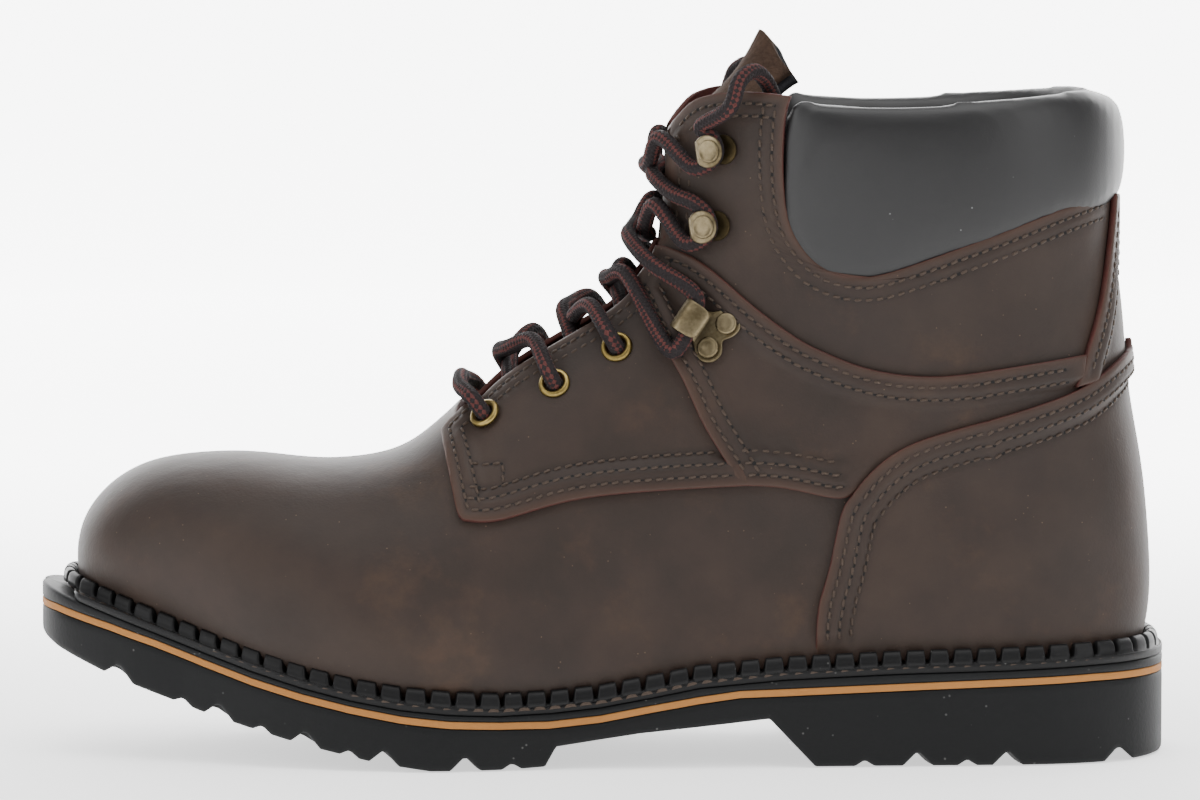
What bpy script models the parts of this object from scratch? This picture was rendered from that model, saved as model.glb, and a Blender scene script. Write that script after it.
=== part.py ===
"""Six-inch lace-up work boot with a steel toe cap, taken apart into its real pieces.

The toe points to -X, the heel to +X, the outer (lateral) side to -Y, and the heel stands on z = 0.
Sizes are in millimetres and are turned into metres where a mesh is made. The boot is built round a
last: a fan of cross-sections that turns from the toe, over the instep, to the top of the shaft.
Every panel is a patch of that surface, pushed out or in by the layers under it.
"""

import math

import bmesh
import bpy
import numpy as np
from mathutils import Matrix

MM = 0.001

# The last, one row for each section of the fan. A section runs from the ridge (top_x, top_z) to the
# sole or the heel (low_x, low_z). half is its half width, middle the y of its centre plane, widest the
# share of its length, from the low end, at which it is widest, and the two powers are those of the
# superellipse above and below the widest place.
LAST = np.array([
    # top_x, top_z, low_x, low_z, half, middle, widest, power_top, power_low
    (-139.0, 41.0, -139.0, 41.0, 0.0, 6.0, 0.40, 2.40, 3.5),
    (-142.3, 46.0, -133.0, 38.0, 13.0, 6.0, 0.40, 2.40, 3.5),
    (-143.0, 54.0, -126.0, 35.5, 22.0, 6.0, 0.40, 2.40, 3.5),
    (-140.8, 63.0, -118.0, 33.0, 29.5, 5.5, 0.40, 2.40, 3.5),
    (-134.5, 71.5, -109.0, 30.0, 35.5, 5.0, 0.40, 2.40, 3.5),
    (-124.0, 77.0, -99.0, 26.5, 40.5, 4.0, 0.37, 2.40, 3.5),
    (-110.0, 79.2, -87.0, 22.5, 45.0, 2.5, 0.34, 2.35, 3.5),
    (-94.0, 79.0, -74.0, 18.5, 48.0, 1.0, 0.335, 2.30, 3.5),
    (-78.0, 78.2, -59.0, 15.0, 50.0, -0.5, 0.33, 2.25, 3.5),
    (-63.0, 79.3, -41.0, 12.0, 50.0, -1.5, 0.33, 2.25, 3.5),
    (-50.0, 84.2, -20.0, 10.0, 48.0, -2.0, 0.32, 2.30, 2.8),
    (-38.5, 94.0, 5.0, 9.0, 44.5, -1.5, 0.31, 2.45, 2.8),
    (-26.0, 106.5, 35.0, 8.0, 41.0, -1.0, 0.30, 2.65, 2.8),
    (-9.0, 117.5, 70.0, 6.0, 38.0, -0.5, 0.30, 2.85, 2.8),
    (4.0, 127.0, 105.0, 8.0, 36.5, 0.0, 0.30, 3.00, 2.8),
    (11.0, 136.5, 137.0, 14.0, 35.5, 0.0, 0.30, 3.00, 2.8),
    (15.0, 145.5, 148.5, 34.0, 35.0, 0.0, 0.30, 3.00, 2.3),
    (17.0, 154.0, 150.0, 56.0, 35.2, 0.0, 0.33, 2.90, 2.3),
    (17.8, 162.0, 147.5, 80.0, 35.8, 0.0, 0.36, 2.80, 2.2),
    (18.0, 169.0, 144.0, 104.0, 36.5, 0.0, 0.39, 2.65, 2.2),
    (18.3, 175.5, 141.3, 128.0, 37.5, 0.0, 0.42, 2.50, 2.2),
    (19.0, 182.0, 139.3, 152.0, 38.5, 0.0, 0.45, 2.40, 2.2),
    (20.0, 188.5, 138.5, 176.0, 39.5, 0.0, 0.48, 2.30, 2.2),
    (21.0, 195.0, 138.5, 198.0, 40.0, 0.0, 0.48, 2.30, 2.2),
])

# Side-view heights along the sole, as (x, z).
WELT_TOP = np.array([
    (-158, 49.6), (-150, 47), (-135, 42), (-122, 37.5), (-108, 32.5), (-95, 28.2), (-81, 24.2), (-68, 21.2),
    (-54, 18.8), (-41, 17.5), (-27, 16.8), (-13, 17.4), (0, 18.8), (14, 21.4), (27, 24), (50, 26),
    (81, 27.3), (110, 28), (135, 29), (156, 29.5)], float)
TAN_MIDDLE = np.array([
    (-156, 41), (-150, 40.3), (-135, 36.5), (-122, 32.5), (-108, 27.5), (-95, 23.2), (-81, 19.4),
    (-68, 16.5), (-54, 14), (-41, 12.6), (-27, 12), (-14, 12), (0, 13.5), (14, 16.2), (27, 18.5),
    (38, 20), (54, 20.5), (81, 21.5), (108, 22.5), (135, 23.5), (156, 23.5)], float)
SOLE_BOTTOM = np.array([
    (-156.5, 33), (-150, 29.5), (-133, 22.6), (-107, 13.6), (-81, 6.6), (-60, 2), (-46, 0),
    (-24, 0), (-15, 0.6), (-12, 6), (11, 9.5), (35, 12), (46, 13.2), (58.5, 0), (157, 0)], float)
TREAD_DEEP = (-132, -104, -80, -58.5, -36.5, 86.5, 111, 142)
TREAD_SHALLOW = (-114, -92, -68, -24, 72, 100)
SOLE_MARGIN = np.array([(-143, 12), (-120, 10), (-85, 9.8), (-40, 8.5), (0, 6), (60, 6), (150, 6.5)], float)

LEATHER = 1.8          # thickness of every leather panel
LEATHER_AT = 0.4       # the last to the inner face of a panel
LAP = 2.9              # how far a lapped edge is lifted to clear the panel under it
LAP_FLAT = 5.5         # width of a lapped edge that is fully lifted
LAP_RAMP = 3.5         # width over which it comes down again
FACING_HALF_GAP = 17.0
STAY_AT = -2.0         # facing stays, inner face
STAY = 1.3
INNER_AT = -2.4        # toe cap and heel counter, inner face
INNER = 2.0
LINING_AT = -4.2
LINING = 1.1
TAN_HALF = 1.0
GAP = 0.3
TO_ORIGIN = (0.1, 1.05, 0.0)    # moves the middle of the whole boot's box over the origin

EYELETS = ((-30, 93), (-12, 102), (5, 112))
HOOKS = ((31, 146), (33, 167))
PLATE_HOOK = (27.5, 118.5)
PLATE_RIVETS = ((35, 119), (30, 112.5))
EYELET_BORE = 2.9
LACE_RADIUS = 1.85


# ---------------------------------------------------------------- the last as a surface

def spline_bends(rows):
    """Second derivatives of the natural cubic spline through rows at 0, 1, 2 and so on."""
    count = len(rows)
    system = np.eye(count)
    right = np.zeros_like(rows)
    for row in range(1, count - 1):
        system[row, row - 1:row + 2] = 1, 4, 1
        right[row] = 6 * (rows[row + 1] - 2 * rows[row] + rows[row - 1])
    return np.linalg.solve(system, right)


LAST_BENDS = spline_bends(LAST)


def section(station):
    """The last's table at any station, read from the spline; station may be an array."""
    station = np.asarray(station, float)
    cell = np.clip(np.floor(station).astype(int), 0, len(LAST) - 2)
    far = (station - cell)[..., None]
    near = 1 - far
    bend = (near ** 3 - near) * LAST_BENDS[cell] + (far ** 3 - far) * LAST_BENDS[cell + 1]
    return near * LAST[cell] + far * LAST[cell + 1] + bend / 6


def last_point(station, angle):
    """Point of the last: angle 0 is the ridge, -pi and pi the sole or heel line, negative lateral."""
    row = section(station)
    cosine = np.cos(angle)
    above = cosine >= 0
    power = np.where(above, row[..., 7], row[..., 8])
    widest = row[..., 6]
    reach = np.abs(cosine) ** (2 / power)
    along = np.where(above, widest + (1 - widest) * reach, widest * (1 - reach))
    side = np.sign(np.sin(angle)) * np.abs(np.sin(angle)) ** (2 / power)
    x = row[..., 2] + (row[..., 0] - row[..., 2]) * along
    z = row[..., 3] + (row[..., 1] - row[..., 3]) * along
    return np.stack([x, row[..., 5] + row[..., 4] * side, z], -1)


def last_normal(station, angle):
    """Outward normal of the last, by differences."""
    step = 0.02
    forward = last_point(station + step, angle) - last_point(station - step, angle)
    around = last_point(station, angle + step) - last_point(station, angle - step)
    normal = np.cross(forward, around)
    return normal / np.maximum(np.linalg.norm(normal, axis=-1, keepdims=True), 1e-9)


def skin(places, offset):
    """Points at the given (station, angle) places, pushed out from the last by offset."""
    station, angle = places[..., 0], places[..., 1]
    return last_point(station, angle) + last_normal(station, angle) * np.asarray(offset)[..., None]


def seen(points):
    """(station, angle) on the lateral side of points given in side view as (x, z)."""
    stations = np.linspace(0.6, len(LAST) - 1, 1800)
    rows = section(stations)
    low = rows[:, 2:4]
    ray = rows[:, 0:2] - low
    found = []
    for point in np.asarray(points, float):
        to = point - low
        turn = ray[:, 0] * to[:, 1] - ray[:, 1] * to[:, 0]
        share = (to * ray).sum(1) / (ray ** 2).sum(1)
        crossed = np.nonzero(turn[:-1] * turn[1:] <= 0)[0]
        if len(crossed):
            outside = np.abs(share[crossed] - np.clip(share[crossed], 0, 1))
            best = crossed[np.argmin(outside)]
            mix = turn[best] / (turn[best] - turn[best + 1])
        else:
            best = min(int(np.argmin(np.abs(turn) / (ray ** 2).sum(1) ** 0.5)), len(turn) - 2)
            mix = 0.0
        station = stations[best] + mix * (stations[1] - stations[0])
        row = section(station)
        part = float(np.clip(share[best] + mix * (share[best + 1] - share[best]), 0, 1))
        if part >= row[6]:
            cosine = ((part - row[6]) / (1 - row[6])) ** (row[7] / 2)
        else:
            cosine = -((row[6] - part) / row[6]) ** (row[8] / 2)
        found.append((station, -math.acos(cosine)))
    return np.array(found)


def line_seen(points, longest=3.0):
    """Places along a side-view polyline, with none further apart than longest."""
    points = np.asarray(points, float)
    steps = np.ceil(np.linalg.norm(np.diff(points, axis=0), axis=1) / longest).astype(int)
    runs = [points[k] + (points[k + 1] - points[k]) * np.linspace(0, 1, n, endpoint=False)[:, None]
            for k, n in enumerate(steps)]
    return seen(np.concatenate(runs + [points[-1:]]))


def at_width(stations, reach):
    """Lateral places at a distance reach from the centre plane, on the upper half of the sections."""
    rows = section(stations)
    sine = (np.asarray(reach) / rows[..., 4]) ** (rows[..., 7] / 2)
    return np.stack([np.asarray(stations, float), -np.arcsin(sine)], -1)


def facing(start, end, reach=FACING_HALF_GAP, count=12):
    """The facing edge between two side-view points, as places."""
    stations = np.linspace(seen([start])[0, 0], seen([end])[0, 0], count)
    return at_width(stations, reach)


def evened(places, count):
    """The same side of a patch with count places spaced evenly along the last."""
    spots = last_point(places[:, 0], places[:, 1])
    length = np.concatenate([[0], np.cumsum(np.linalg.norm(np.diff(spots, axis=0), axis=1))])
    wanted = np.linspace(0, length[-1], count)
    return np.stack([np.interp(wanted, length, places[:, k]) for k in (0, 1)], -1)


def patch(low, high, start, end, columns, rows):
    """Coons patch of places: low and high run from start to end, start and end from low to high."""
    low, high = evened(low, columns + 1), evened(high, columns + 1)
    start, end = evened(start, rows + 1), evened(end, rows + 1)
    u = np.linspace(0, 1, columns + 1)[:, None, None]
    v = np.linspace(0, 1, rows + 1)[None, :, None]
    ruled = (1 - v) * low[:, None] + v * high[:, None] + (1 - u) * start[None] + u * end[None]
    corners = (1 - u) * ((1 - v) * low[0] + v * high[0]) + u * ((1 - v) * low[-1] + v * high[-1])
    return ruled - corners


def other_side(places):
    """The same places on the medial side."""
    return places * np.array([1, -1])


def joined(places, at_end_of_rows=True):
    """A lateral half and its mirror, made one grid across the centre line."""
    if not at_end_of_rows:
        places = places[:, ::-1]
    return np.concatenate([places, other_side(places)[:, -2::-1]], axis=1)


def lift_near(places, edges):
    """Extra offset near the lapped edges: full for LAP_FLAT, then down to nothing over LAP_RAMP."""
    spots = last_point(places[..., 0], places[..., 1])
    borders = {"low": spots[:, 0], "high": spots[:, -1], "start": spots[0], "end": spots[-1]}
    lift = np.zeros(spots.shape[:2])
    for edge in edges:
        away = np.linalg.norm(spots[:, :, None] - borders[edge][None, None], axis=-1).min(axis=-1)
        lift = np.maximum(lift, LAP * np.clip(1 - (away - LAP_FLAT) / LAP_RAMP, 0, 1))
    return lift


# ---------------------------------------------------------------- making objects

def clear_scene():
    for thing in list(bpy.data.objects):
        bpy.data.objects.remove(thing, do_unlink=True)


def new_collection(name, hidden=False):
    collection = bpy.data.collections.new(name)
    bpy.context.scene.collection.children.link(collection)
    collection.hide_render = hidden
    return collection


def new_material(name, colour, roughness, metallic=0.0):
    material = bpy.data.materials.new(name)
    material.use_nodes = True
    shader = material.node_tree.nodes["Principled BSDF"]
    shader.inputs["Base Color"].default_value = (*colour, 1)
    shader.inputs["Roughness"].default_value = roughness
    shader.inputs["Metallic"].default_value = metallic
    return material


clear_scene()
BOOT = new_collection("work_boot")
CUTTERS = new_collection("cutters", hidden=True)
LEATHER_BROWN = new_material("oiled_leather", (0.070, 0.050, 0.042), 0.75)
COLLAR_GREY = new_material("collar_leather", (0.055, 0.055, 0.058), 0.45)
LINING_GREY = new_material("lining_fabric", (0.060, 0.060, 0.063), 0.9)
RUBBER = new_material("black_rubber", (0.013, 0.014, 0.015), 0.6)
TAN = new_material("tan_rubber", (0.50, 0.27, 0.10), 0.7)
BRASS = new_material("antique_brass", (0.35, 0.27, 0.14), 0.4, 1.0)
STEEL = new_material("steel", (0.55, 0.56, 0.58), 0.35, 1.0)
CORK = new_material("cork", (0.35, 0.22, 0.12), 0.9)
BOARD = new_material("insole_board", (0.40, 0.30, 0.20), 0.9)
FOAM = new_material("foam", (0.55, 0.55, 0.52), 0.95)
LACE_BLACK = new_material("lace", (0.025, 0.018, 0.020), 0.85)
AGLET = new_material("aglet", (0.02, 0.02, 0.02), 0.3)


def add_mesh(name, points, faces, material, collection=None, scale=MM):
    """A mesh object from points and faces, with doubled points merged and faces turned outwards."""
    mesh = bpy.data.meshes.new(name)
    mesh.from_pydata((np.asarray(points, float).reshape(-1, 3) * scale).tolist(), [], faces)
    work = bmesh.new()
    work.from_mesh(mesh)
    bmesh.ops.remove_doubles(work, verts=work.verts, dist=2e-6)
    work.to_mesh(mesh)
    work.free()
    mesh.materials.append(material)
    mesh.shade_smooth()
    thing = bpy.data.objects.new(name, mesh)
    (collection or BOOT).objects.link(thing)
    return thing


def grid_faces(columns, rows, closed=False):
    """Quads of a grid of points; closed joins the last row to the first."""
    faces = []
    for i in range(columns - 1):
        for j in range(rows if closed else rows - 1):
            k = (j + 1) % rows
            faces.append((i * rows + j, (i + 1) * rows + j, (i + 1) * rows + k, i * rows + k))
    return faces


def add_shell(name, places, offset, thickness, material):
    """A panel of the last: an open sheet at offset, made solid outwards by Solidify."""
    points = skin(places, np.broadcast_to(offset, places.shape[:2]))
    middle = (points.shape[0] // 2, points.shape[1] // 2)
    along = points[middle[0] + 1, middle[1]] - points[middle[0] - 1, middle[1]]
    across = points[middle[0], middle[1] + 1] - points[middle[0], middle[1] - 1]
    outward = last_normal(places[middle][0], places[middle][1])
    if np.dot(np.cross(along, across), outward) < 0:
        points = points[::-1]
    thing = add_mesh(name, points, grid_faces(*points.shape[:2]), material)
    solid = thing.modifiers.new("thickness", "SOLIDIFY")
    solid.thickness = thickness * MM
    solid.offset = 1.0
    return thing


def add_loft(name, rings, material, collection=None):
    """A closed solid through rings of points, with a fan cap at each end that is not a point."""
    rings = np.asarray(rings, float)
    count, size = rings.shape[:2]
    faces = grid_faces(count, size, closed=True)
    faces.append(tuple(range(size)))
    faces.append(tuple(range(count * size - 1, (count - 1) * size - 1, -1)))
    thing = add_mesh(name, rings, faces, material, collection)
    turn_outwards(thing)
    return thing


def turn_outwards(thing):
    """Flips every face of a closed mesh whose volume comes out negative."""
    work = bmesh.new()
    work.from_mesh(thing.data)
    if work.calc_volume(signed=True) < 0:
        bmesh.ops.reverse_faces(work, faces=work.faces)
    work.to_mesh(thing.data)
    work.free()


def add_turned(name, profile, material, frame, steps=20, collection=None):
    """A turned solid: profile is (radius, height) pairs, down its outer side, about the frame's axis."""
    points = np.array([(radius, 0, height) for radius, height in profile])
    edges = [(k, k + 1) for k in range(len(profile) - 1)]
    if profile[0][0] > 0:
        edges.append((len(profile) - 1, 0))
    mesh = bpy.data.meshes.new(name)
    mesh.from_pydata((points * MM).tolist(), edges, [])
    mesh.materials.append(material)
    thing = bpy.data.objects.new(name, mesh)
    (collection or BOOT).objects.link(thing)
    screw = thing.modifiers.new("turn", "SCREW")
    screw.steps = steps
    screw.render_steps = steps
    screw.use_merge_vertices = True
    screw.merge_threshold = 0.00001
    thing.matrix_world = frame
    return thing


def frame_at(origin, axis, towards=(0, 0, 1)):
    """World matrix with z along axis and x as near to towards as it can be; origin is in millimetres."""
    z = np.asarray(axis, float) / np.linalg.norm(axis)
    x = np.asarray(towards, float) - np.dot(towards, z) * z
    x /= np.linalg.norm(x)
    matrix = np.eye(4)
    matrix[:3, 0], matrix[:3, 1], matrix[:3, 2] = x, np.cross(z, x), z
    matrix[:3, 3] = np.asarray(origin) * MM
    return Matrix(matrix.tolist())


def cut(thing, cutter):
    hole = thing.modifiers.new("cut " + cutter.name, "BOOLEAN")
    hole.operation = "DIFFERENCE"
    hole.object = cutter
    hole.solver = "EXACT"
    cutter.hide_render = True
    cutter.display_type = "WIRE"


def join(thing, other):
    """Boolean union of a helper into a piece."""
    union = thing.modifiers.new("join " + other.name, "BOOLEAN")
    union.operation = "UNION"
    union.object = other
    union.solver = "EXACT"
    other.hide_render = True
    other.display_type = "WIRE"


# ---------------------------------------------------------------- the sole unit

def height(table, x):
    """Side-view height read from one of the tables."""
    return np.interp(x, table[:, 0], table[:, 1])


def welt_top(x):
    return height(WELT_TOP, x)


def feather_line(margin, above=0.0):
    """Plan outlines (lateral, medial) of the leather just above the welt, pushed out by margin(x)."""
    front, back = toe_start(above), back_places(29.3 + above, 29.3 + above, 1)[0]
    tip = last_point(front[0], 0.0)[0] + 0.25
    end = last_point(back[0], -math.pi)[0] - 0.25
    x = tip + (end - tip) * (1 - np.cos(math.pi * np.linspace(0, 1, 59))) / 2
    places = np.concatenate([[front], seen(np.stack([x, welt_top(x) + above], -1))[1:-1], [back]])
    outlines = []
    for side in (1, -1):
        spots = skin(places * np.array([1, side]), np.full(len(places), LEATHER_AT + LEATHER))[:, :2]
        run = np.gradient(spots, axis=0)
        run[0] = (0, -side)
        run[-1] = (0, side)
        run /= np.linalg.norm(run, axis=1, keepdims=True)
        out = np.stack([run[:, 1], -run[:, 0]], -1) * side
        outlines.append(spots + out * margin(spots[:, 0])[:, None])
    return outlines


def outline_at(margin, x):
    """Lateral and medial y of the outline at each x, zero width just past its ends."""
    lateral, medial = feather_line(margin)
    sides = []
    for line in (lateral, medial):
        order = np.argsort(line[:, 0])
        sides.append(np.interp(x, line[order, 0], line[order, 1]))
    return sides


def sole_margin(x):
    return height(SOLE_MARGIN, x)


def inside(depth):
    """Margin function that draws the outline in by a constant depth."""
    return lambda x: np.full_like(x, -depth)


def stations_between(margin, extra=(), count=30, narrowest=6.0):
    """x stations over the outline where it is wide enough, close together at the ends, with extra ones."""
    fine = np.linspace(-170, 170, 3401)
    lateral, medial = outline_at(margin, fine)
    both = feather_line(margin)
    tip, back = both[0][0, 0], both[0][-1, 0]
    wide = fine[(medial - lateral > narrowest) & (fine > tip) & (fine < back)]
    share = (1 - np.cos(math.pi * np.linspace(0, 1, count))) / 2
    marks = [x for x in extra if wide[0] + 1 < x < wide[-1] - 1]
    return np.unique(np.concatenate([wide[0] + (wide[-1] - wide[0]) * share, marks]))


def add_slab(name, margin, low, high, material, xs, collection=None):
    """A layer of the sole: the outline drawn in or out by margin, between two side-view heights."""
    lateral, medial = outline_at(margin, xs)
    bottom, top = low(xs), high(xs)
    rings = np.stack([
        np.stack([xs, lateral, bottom], -1), np.stack([xs, medial, bottom], -1),
        np.stack([xs, medial, top], -1), np.stack([xs, lateral, top], -1)], 1)
    return add_loft(name, rings, material, collection)


def tread_height(x):
    """Underside of the outsole, with a V groove at each tread notch."""
    depth = np.zeros_like(x)
    for centres, size, reach in ((TREAD_DEEP, 3.4, 3.4), (TREAD_SHALLOW, 1.4, 2.2)):
        for centre in centres:
            depth = np.maximum(depth, size * np.clip(1.2 - np.abs(x - centre) / reach, 0, 1))
    return height(SOLE_BOTTOM, x) + depth


def tread_stations():
    marks = list(SOLE_BOTTOM[1:-1, 0])
    for centres, reach in ((TREAD_DEEP, 3.4), (TREAD_SHALLOW, 2.2)):
        for centre in centres:
            marks += [centre - 1.2 * reach, centre - 0.2 * reach, centre + 0.2 * reach, centre + 1.2 * reach]
    return marks


def make_sole():
    xs = stations_between(sole_margin, tread_stations(), 22)
    add_slab("outsole", sole_margin, tread_height,
             lambda x: height(TAN_MIDDLE, x) - TAN_HALF - GAP, RUBBER, xs)
    xs = stations_between(sole_margin, count=30)
    add_slab("midsole_tan", sole_margin, lambda x: height(TAN_MIDDLE, x) - TAN_HALF,
             lambda x: height(TAN_MIDDLE, x) + TAN_HALF, TAN, xs)
    add_slab("midsole_black", sole_margin, lambda x: height(TAN_MIDDLE, x) + TAN_HALF + GAP,
             lambda x: welt_top(x) - 2.6, RUBBER, xs)
    make_welt()
    xs = stations_between(inside(4.6), count=26)
    cork = add_slab("cork_filler", inside(4.6), lambda x: welt_top(x) - 2,
                    lambda x: welt_top(x) + 0.2, CORK, xs)
    add_shank(cork)
    xs = stations_between(inside(5.4), count=26)
    add_slab("insole_board", inside(5.4), lambda x: welt_top(x) + 0.6,
             lambda x: welt_top(x) + 2.6, BOARD, xs)
    xs = stations_between(inside(8.2), count=26)
    add_slab("footbed", inside(8.2), lambda x: welt_top(x) + 3.1,
             lambda x: welt_top(x) + 7.5 + 1.5 * np.clip((x - 20) / 60, 0, 1), LINING_GREY, xs)


def shank_solid(name, margin, low, high, collection, material):
    xs = np.linspace(-38 - margin, 74 + margin, 15)
    half = np.full_like(xs, 8.0 + margin)
    half[[0, -1]] = 4.0
    top, bottom = welt_top(xs) + high, welt_top(xs) + low
    rings = np.stack([np.stack([xs, -half, bottom], -1), np.stack([xs, half, bottom], -1),
                      np.stack([xs, half, top], -1), np.stack([xs, -half, top], -1)], 1)
    return add_loft(name, rings, material, collection)


def add_shank(cork):
    shank_solid("shank", 0.0, -1.1, 0.1, BOOT, STEEL)
    cut(cork, shank_solid("shank_channel", 0.5, -1.45, 1.0, CUTTERS, STEEL))


def make_welt():
    """The welt strip all round, with its raised storm bead against the leather."""
    inner = feather_line(lambda x: np.full_like(x, 1.7))
    crest = feather_line(lambda x: np.full_like(x, 2.0), 4.8)
    bead = feather_line(lambda x: np.full_like(x, 4.8), 4.8)
    outer = feather_line(sole_margin)

    def loop(pair):
        return np.concatenate([pair[0], pair[1][-2:0:-1]])

    inner, crest, bead, outer = (loop(line)[::2] for line in (inner, crest, bead, outer))
    rows = []
    for line, level in ((inner, -2.0), (outer, -2.0), (outer, 0.0), (bead, 0.0), (bead, 4.1), (crest, 4.5)):
        rows.append(np.stack([line[:, 0], line[:, 1], welt_top(line[:, 0]) + level], -1))
    rings = np.stack(rows, 1)
    count = len(rings)
    size = rings.shape[1]
    faces = []
    for i in range(count):
        for j in range(size):
            k, m = (i + 1) % count, (j + 1) % size
            faces.append((i * size + j, k * size + j, k * size + m, i * size + m))
    turn_outwards(add_mesh("welt", rings, faces, RUBBER))


# ---------------------------------------------------------------- the upper's side-view seams

FOXING_TOP = [(68, 73), (73, 79), (82, 86), (95, 91), (109, 95), (126, 100.5), (136, 106), (143, 111), (147, 113)]
FOXING_FRONT = [(58.5, 27.6), (59, 42), (62, 53), (65, 67), (68, 73)]
SHAFT_SEAM = [(16.5, 141), (20, 139.5), (27, 137), (35, 131), (43, 124), (54, 116), (62, 112), (73, 108),
              (90, 106), (109, 108), (126, 110)]
CUT_OUT = [(52, 182), (50.5, 176), (50, 165), (50.5, 155), (52, 147), (56, 140), (62, 135), (71, 133),
           (81, 135), (95, 140), (109, 145), (125, 151), (137, 154.5)]
MID_FRONT = [(12.3, 127.5), (15.6, 117), (22.6, 104), (27.6, 93), (33.6, 83), (37.7, 75.8)]
COLLAR_TOP = [(54, 181), (60, 180.2), (68, 179.5), (82, 179.5), (95, 180.2), (109, 181.3), (122, 182.3),
              (133, 183.2), (139, 182)]
THROAT_TOP = (19.3, 168)


def shifted(points, dx, dz):
    return [(x + dx, z + dz) for x, z in points]


def feather_places(start, end, raise_by, count=14):
    """Places along the welt's top from x = start to x = end, raised a little."""
    xs = np.linspace(start, end, count)
    places = seen(np.stack([xs, welt_top(xs) + raise_by], -1))
    return places


def toe_start(raise_by):
    """Place on the ridge at the very front of the toe, just above the welt."""
    stations = np.linspace(0.6, 3, 200)
    heights = last_point(stations, np.zeros(200))[:, 2]
    return np.array([np.interp(45.6 + raise_by, heights, stations), 0.0])


def toe_low(end, raise_by, count=16):
    """The edge from the toe's front round the side to x = end, just above the welt."""
    front = toe_start(raise_by)
    share = np.linspace(0, 1, count)[1:] ** 1.6
    xs = -142.0 + (end + 142.0) * share
    return np.concatenate([[front], seen(np.stack([xs, welt_top(xs) + raise_by], -1))])


def ridge_places(start_station, end_station, count=12):
    stations = np.linspace(start_station, end_station, count)
    return np.stack([stations, np.zeros(count)], -1)


def back_places(low_z, high_z, count=8):
    """Places down the back line between two heights."""
    stations = np.linspace(14.8, 23, 300)
    heights = last_point(stations, np.full(300, -math.pi))[:, 2]
    wanted = np.linspace(low_z, high_z, count)
    return np.stack([np.interp(wanted, heights, stations), np.full(count, -math.pi)], -1)


def toe_patch(end_side, feather_end, ridge_end, raise_by, columns, rows):
    """A patch from the very front of the toe back to end_side, both halves in one grid."""
    low = toe_low(feather_end, raise_by)
    front = toe_start(raise_by)
    high = ridge_places(front[0], ridge_end)
    start = np.repeat(front[None], 4, 0)
    return joined(patch(low, high, start, end_side, columns, rows))


def make_vamp():
    rear = [(57.8, 27.6), (58.2, 42), (59.2, 46.5), (63, 50), (66, 56), (70, 70), (70, 77), (51, 78.2),
            (37, 79), (11, 77.2), (-11, 75), (-26, 70), (-33, 71), (-35, 79), (-36.5, 87)]
    ridge_end = 11.15
    end = np.concatenate([line_seen(rear), at_width([11.0], 10.0), [[ridge_end, 0]]])
    places = toe_patch(end, 57.8, ridge_end, 1.2, 17, 12)
    add_shell("vamp", places, LEATHER_AT, LEATHER, LEATHER_BROWN)


def make_toe_cap():
    rear = line_seen([(-84, welt_top(-84) + 3.0), (-86, 50), (-89, 70)])
    end = np.concatenate([rear, [[7.2, 0]]])
    places = toe_patch(end, -84, 7.2, 3.0, 10, 7)
    add_shell("toe_cap", places, INNER_AT, INNER, STEEL)
    low = line_seen([(-83.4, welt_top(-83.4) + 3.0), (-78.5, welt_top(-78.5) + 3.0)])
    high = ridge_places(7.25, 7.5, 3)
    start = np.concatenate([line_seen([(-83.4, welt_top(-83.4) + 3.0), (-85.4, 50), (-88.4, 70)]), [[7.25, 0]]])
    end = np.concatenate([line_seen([(-78.5, welt_top(-78.5) + 3.0), (-80.5, 50), (-84, 70)]), [[7.5, 0]]])
    add_shell("toe_cap_trim", joined(patch(low, high, start, end, 2, 8)), INNER_AT, INNER, RUBBER)


def make_vamp_lining():
    rear = line_seen([(-14, welt_top(-14) + 3.4), (-16, 45), (-22, 68), (-34, 82)])
    end = np.concatenate([rear, at_width([10.4], 12.0), [[10.4, 0]]])
    places = toe_patch(end, -14, 10.4, 3.4, 13, 7)
    add_shell("vamp_lining", places, LINING_AT, LINING, LINING_GREY)


def both_sides(name, places, offset, thickness, material):
    """The same panel on both sides of the boot."""
    return [add_shell(name + "_lateral", places, offset, thickness, material),
            add_shell(name + "_medial", other_side(places), offset, thickness, material)]


def make_front_quarters():
    front = np.concatenate([at_width([10.85], FACING_HALF_GAP), line_seen([(-41, 84), (-39.5, 73), (-38, 65.5)])])
    low = line_seen([(-38, 65.5), (-27, 66), (-11, 71), (11, 74), (36.6, 75.6)])
    rear = np.concatenate([facing((11.2, 128), (11.2, 128), count=1), line_seen(shifted(MID_FRONT[1:], -0.8, -0.2))])
    top = at_width(np.linspace(10.85, rear[0, 0], 12), FACING_HALF_GAP)
    places = patch(low, top, front[::-1], rear[::-1], 11, 8)
    lift = lift_near(places, ("low", "start"))
    return both_sides("quarter_front", places, LEATHER_AT + lift, LEATHER, LEATHER_BROWN)


def make_mid_quarters():
    station = facing((11.2, 128), (11.2, 128), count=1)[0, 0] + 0.05
    top_station = seen([(16, 141)])[0, 0]
    front = np.concatenate([at_width(np.linspace(top_station, station, 5), FACING_HALF_GAP), line_seen(MID_FRONT[1:])])
    low = line_seen([(37.7, 75.8), (51, 75), (64, 72.5), (69.5, 75.2)] + shifted(FOXING_TOP[1:5], -0.4, 0.9)
               + [(127.2, 101.8)])
    rear = line_seen([(127.2, 101.8), (125.6, 110)])
    top = np.concatenate([front[:1], line_seen(SHAFT_SEAM[1:-1] + [(125.6, 110)])])
    places = patch(low, top, front[::-1], rear, 14, 7)
    lift = lift_near(places, ("low", "high"))
    return both_sides("quarter_mid", places, LEATHER_AT + lift, LEATHER, LEATHER_BROWN)


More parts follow.
